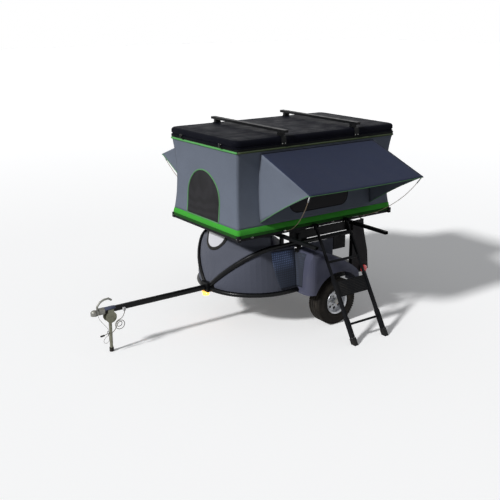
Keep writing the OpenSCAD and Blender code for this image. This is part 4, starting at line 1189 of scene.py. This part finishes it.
def make_coupler_sleeve():
    """The steel half sleeve over the tongue's end, clear of the jack's bracket."""
    tube_low, tube_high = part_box("tongue_tube")
    rear_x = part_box("coupler_head")[0].x
    middle_z = (tube_low.z + tube_high.z) / 2
    radius = (tube_high.z - tube_low.z) / 2 + 0.0035
    start = asin((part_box("jack_bracket")[1].z + 0.003 - middle_z) / radius) / (pi / 2)
    rows = [[Vector((rear_x - back, y, z)) for y, z in arc(0, middle_z, r, start, 2 - start, 24)]
            for back, r in ((0.118, radius - 0.0015), (0.116, radius), (0.004, radius),
                            (0.002, radius - 0.0015))]
    sharpen(skin("coupler-sleeve", rows, SLEEVE, thickness=0.0015), 40)


# The wide step's plane: a point on it, the way down it and the way out of it
STEP_SPOT, STEP_DOWN, STEP_OUT = (0, 0.992, 0.551), (0, 0.511, -0.859), (0, 0.859, 0.511)
STEP_RAISE, STEP_LENGTH, RIB_COUNT, RIB_PITCH = 0.032, 0.165, 9, 0.0165


def make_ladder_trim():
    """The wide step's ribbed plate, and pins at the hinges."""
    low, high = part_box("ladder_rungs")
    x0, x1 = low.x + 0.008, high.x - 0.008
    down, out = Vector(STEP_DOWN), Vector(STEP_OUT)
    top = Vector(STEP_SPOT) - down * STEP_RAISE

    def across(along, lift, *xs):
        return [Vector((x, 0, 0)) + top + down * along + out * lift for x in xs]

    rows = [across(along, lift, x0, x1)
            for along, lift in ((0, 0.0015), (0.004, 0.0055), (STEP_LENGTH - 0.004, 0.0055),
                                (STEP_LENGTH, 0.0015))]
    tread = skin("ladder-tread", rows, LADDER, "ladder", thickness=0.003, offset=-1.0)
    sharpen(tread, 30)
    ribs = [tube_mesh(across(0.016 + RIB_PITCH * k, 0.0055, x0 + 0.02, (x0 + x1) / 2, x1 - 0.02),
                      0.0022, 8) for k in range(RIB_COUNT)]
    piece("ladder-tread-ribs", ribs, RUBBER, "ladder")
    low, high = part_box("ladder_hinge")
    pins = [bolt_parts((x, low.y + 0.004, (low.z + high.z) / 2 + dz), (0, 1, 0), 0.006)
            for x in (low.x + 0.012, high.x - 0.012) for dz in (-0.016, 0.016)]
    piece("ladder-hinge-bolts", pins, BOLT, "root", False)


# CAD nodes that keep their shape: each one's finish and the width its edges are softened by

CAD_FINISHES = {
    "tongue_tube": (BLACK, 0), "coupler_head": (CAST, 0.002), "coupler_lever": (CAST, 0),
    "nose_bracket": (SATIN_BLACK, 0.003), "lower_rail": (BLACK, 0), "upper_rails": (BLACK, 0),
    "chassis_members": (SATIN_BLACK, 0.0015), "floor_deck": (SHELF, 0.001),
    "side_panels": (BODY_CLOTH, 0), "quarter_panels": (BODY_CLOTH, 0.001),
    "fenders": (FENDER, 0.0015), "side_boxes": (BOX, 0.008), "rear_columns": (COLUMN, 0.003),
    "axle": (SATIN_BLACK, 0.002), "jack_bracket": (GALVANISED, 0.0015),
    "jack_leg": (GALVANISED, 0.001), "jack_foot": (RUBBER, 0.003),
    "rack_posts": (SATIN_BLACK, 0.002), "crossbars": (SATIN_BLACK, 0.0008),
    "tent_rails": (SATIN_BLACK, 0.0008), "tent_tray": (TRAY, 0.004),
    "roof_bars": (SATIN_BLACK, 0.004), "ladder_rails": (LADDER, 0.003),
    "ladder_rungs": (LADDER, 0.003), "ladder_feet": (RUBBER, 0.004),
    "ladder_hinge": (SATIN_BLACK, 0.001), "cable_clip": (CLIP, 0.002),
    "light_plug": (RUBBER, 0.002), "breakaway_hook": (RUBBER, 0)}


def finish_nodes():
    for name, (material, bevel) in CAD_FINISHES.items():
        finish_node(name, material, bevel)
    panels = NODES["side_panels"].data
    # The side panels' inward faces take the darker inner-face cloth
    panels.materials.append(INNER_FACE_CLOTH)
    for poly in panels.polygons:
        outward = Vector((poly.center.x - TENT_X - 0.1, poly.center.y * 3, 0))
        if poly.normal.dot(outward) < 0:
            poly.material_index = 1


make_camera()
make_cords()
make_light()
make_floor()
finish_nodes()
make_tent_cloth()
for sign, label in BOTH_SIDES:
    make_awning(sign, label)
make_rods()
for sign, label in BOTH_SIDES:
    make_tyre(sign, label)
    make_rim(sign, label)
make_marker_lamp()
make_coupler_sleeve()
make_tail_lamps()
make_wing_lenses()
make_ladder_trim()
make_nose()
make_lid()
make_latches()
make_bar_brackets()
make_tray_trim()
for sign, label in BOTH_SIDES:
    make_pocket(sign, label)

bpy.context.scene.view_settings.view_transform = "Standard"
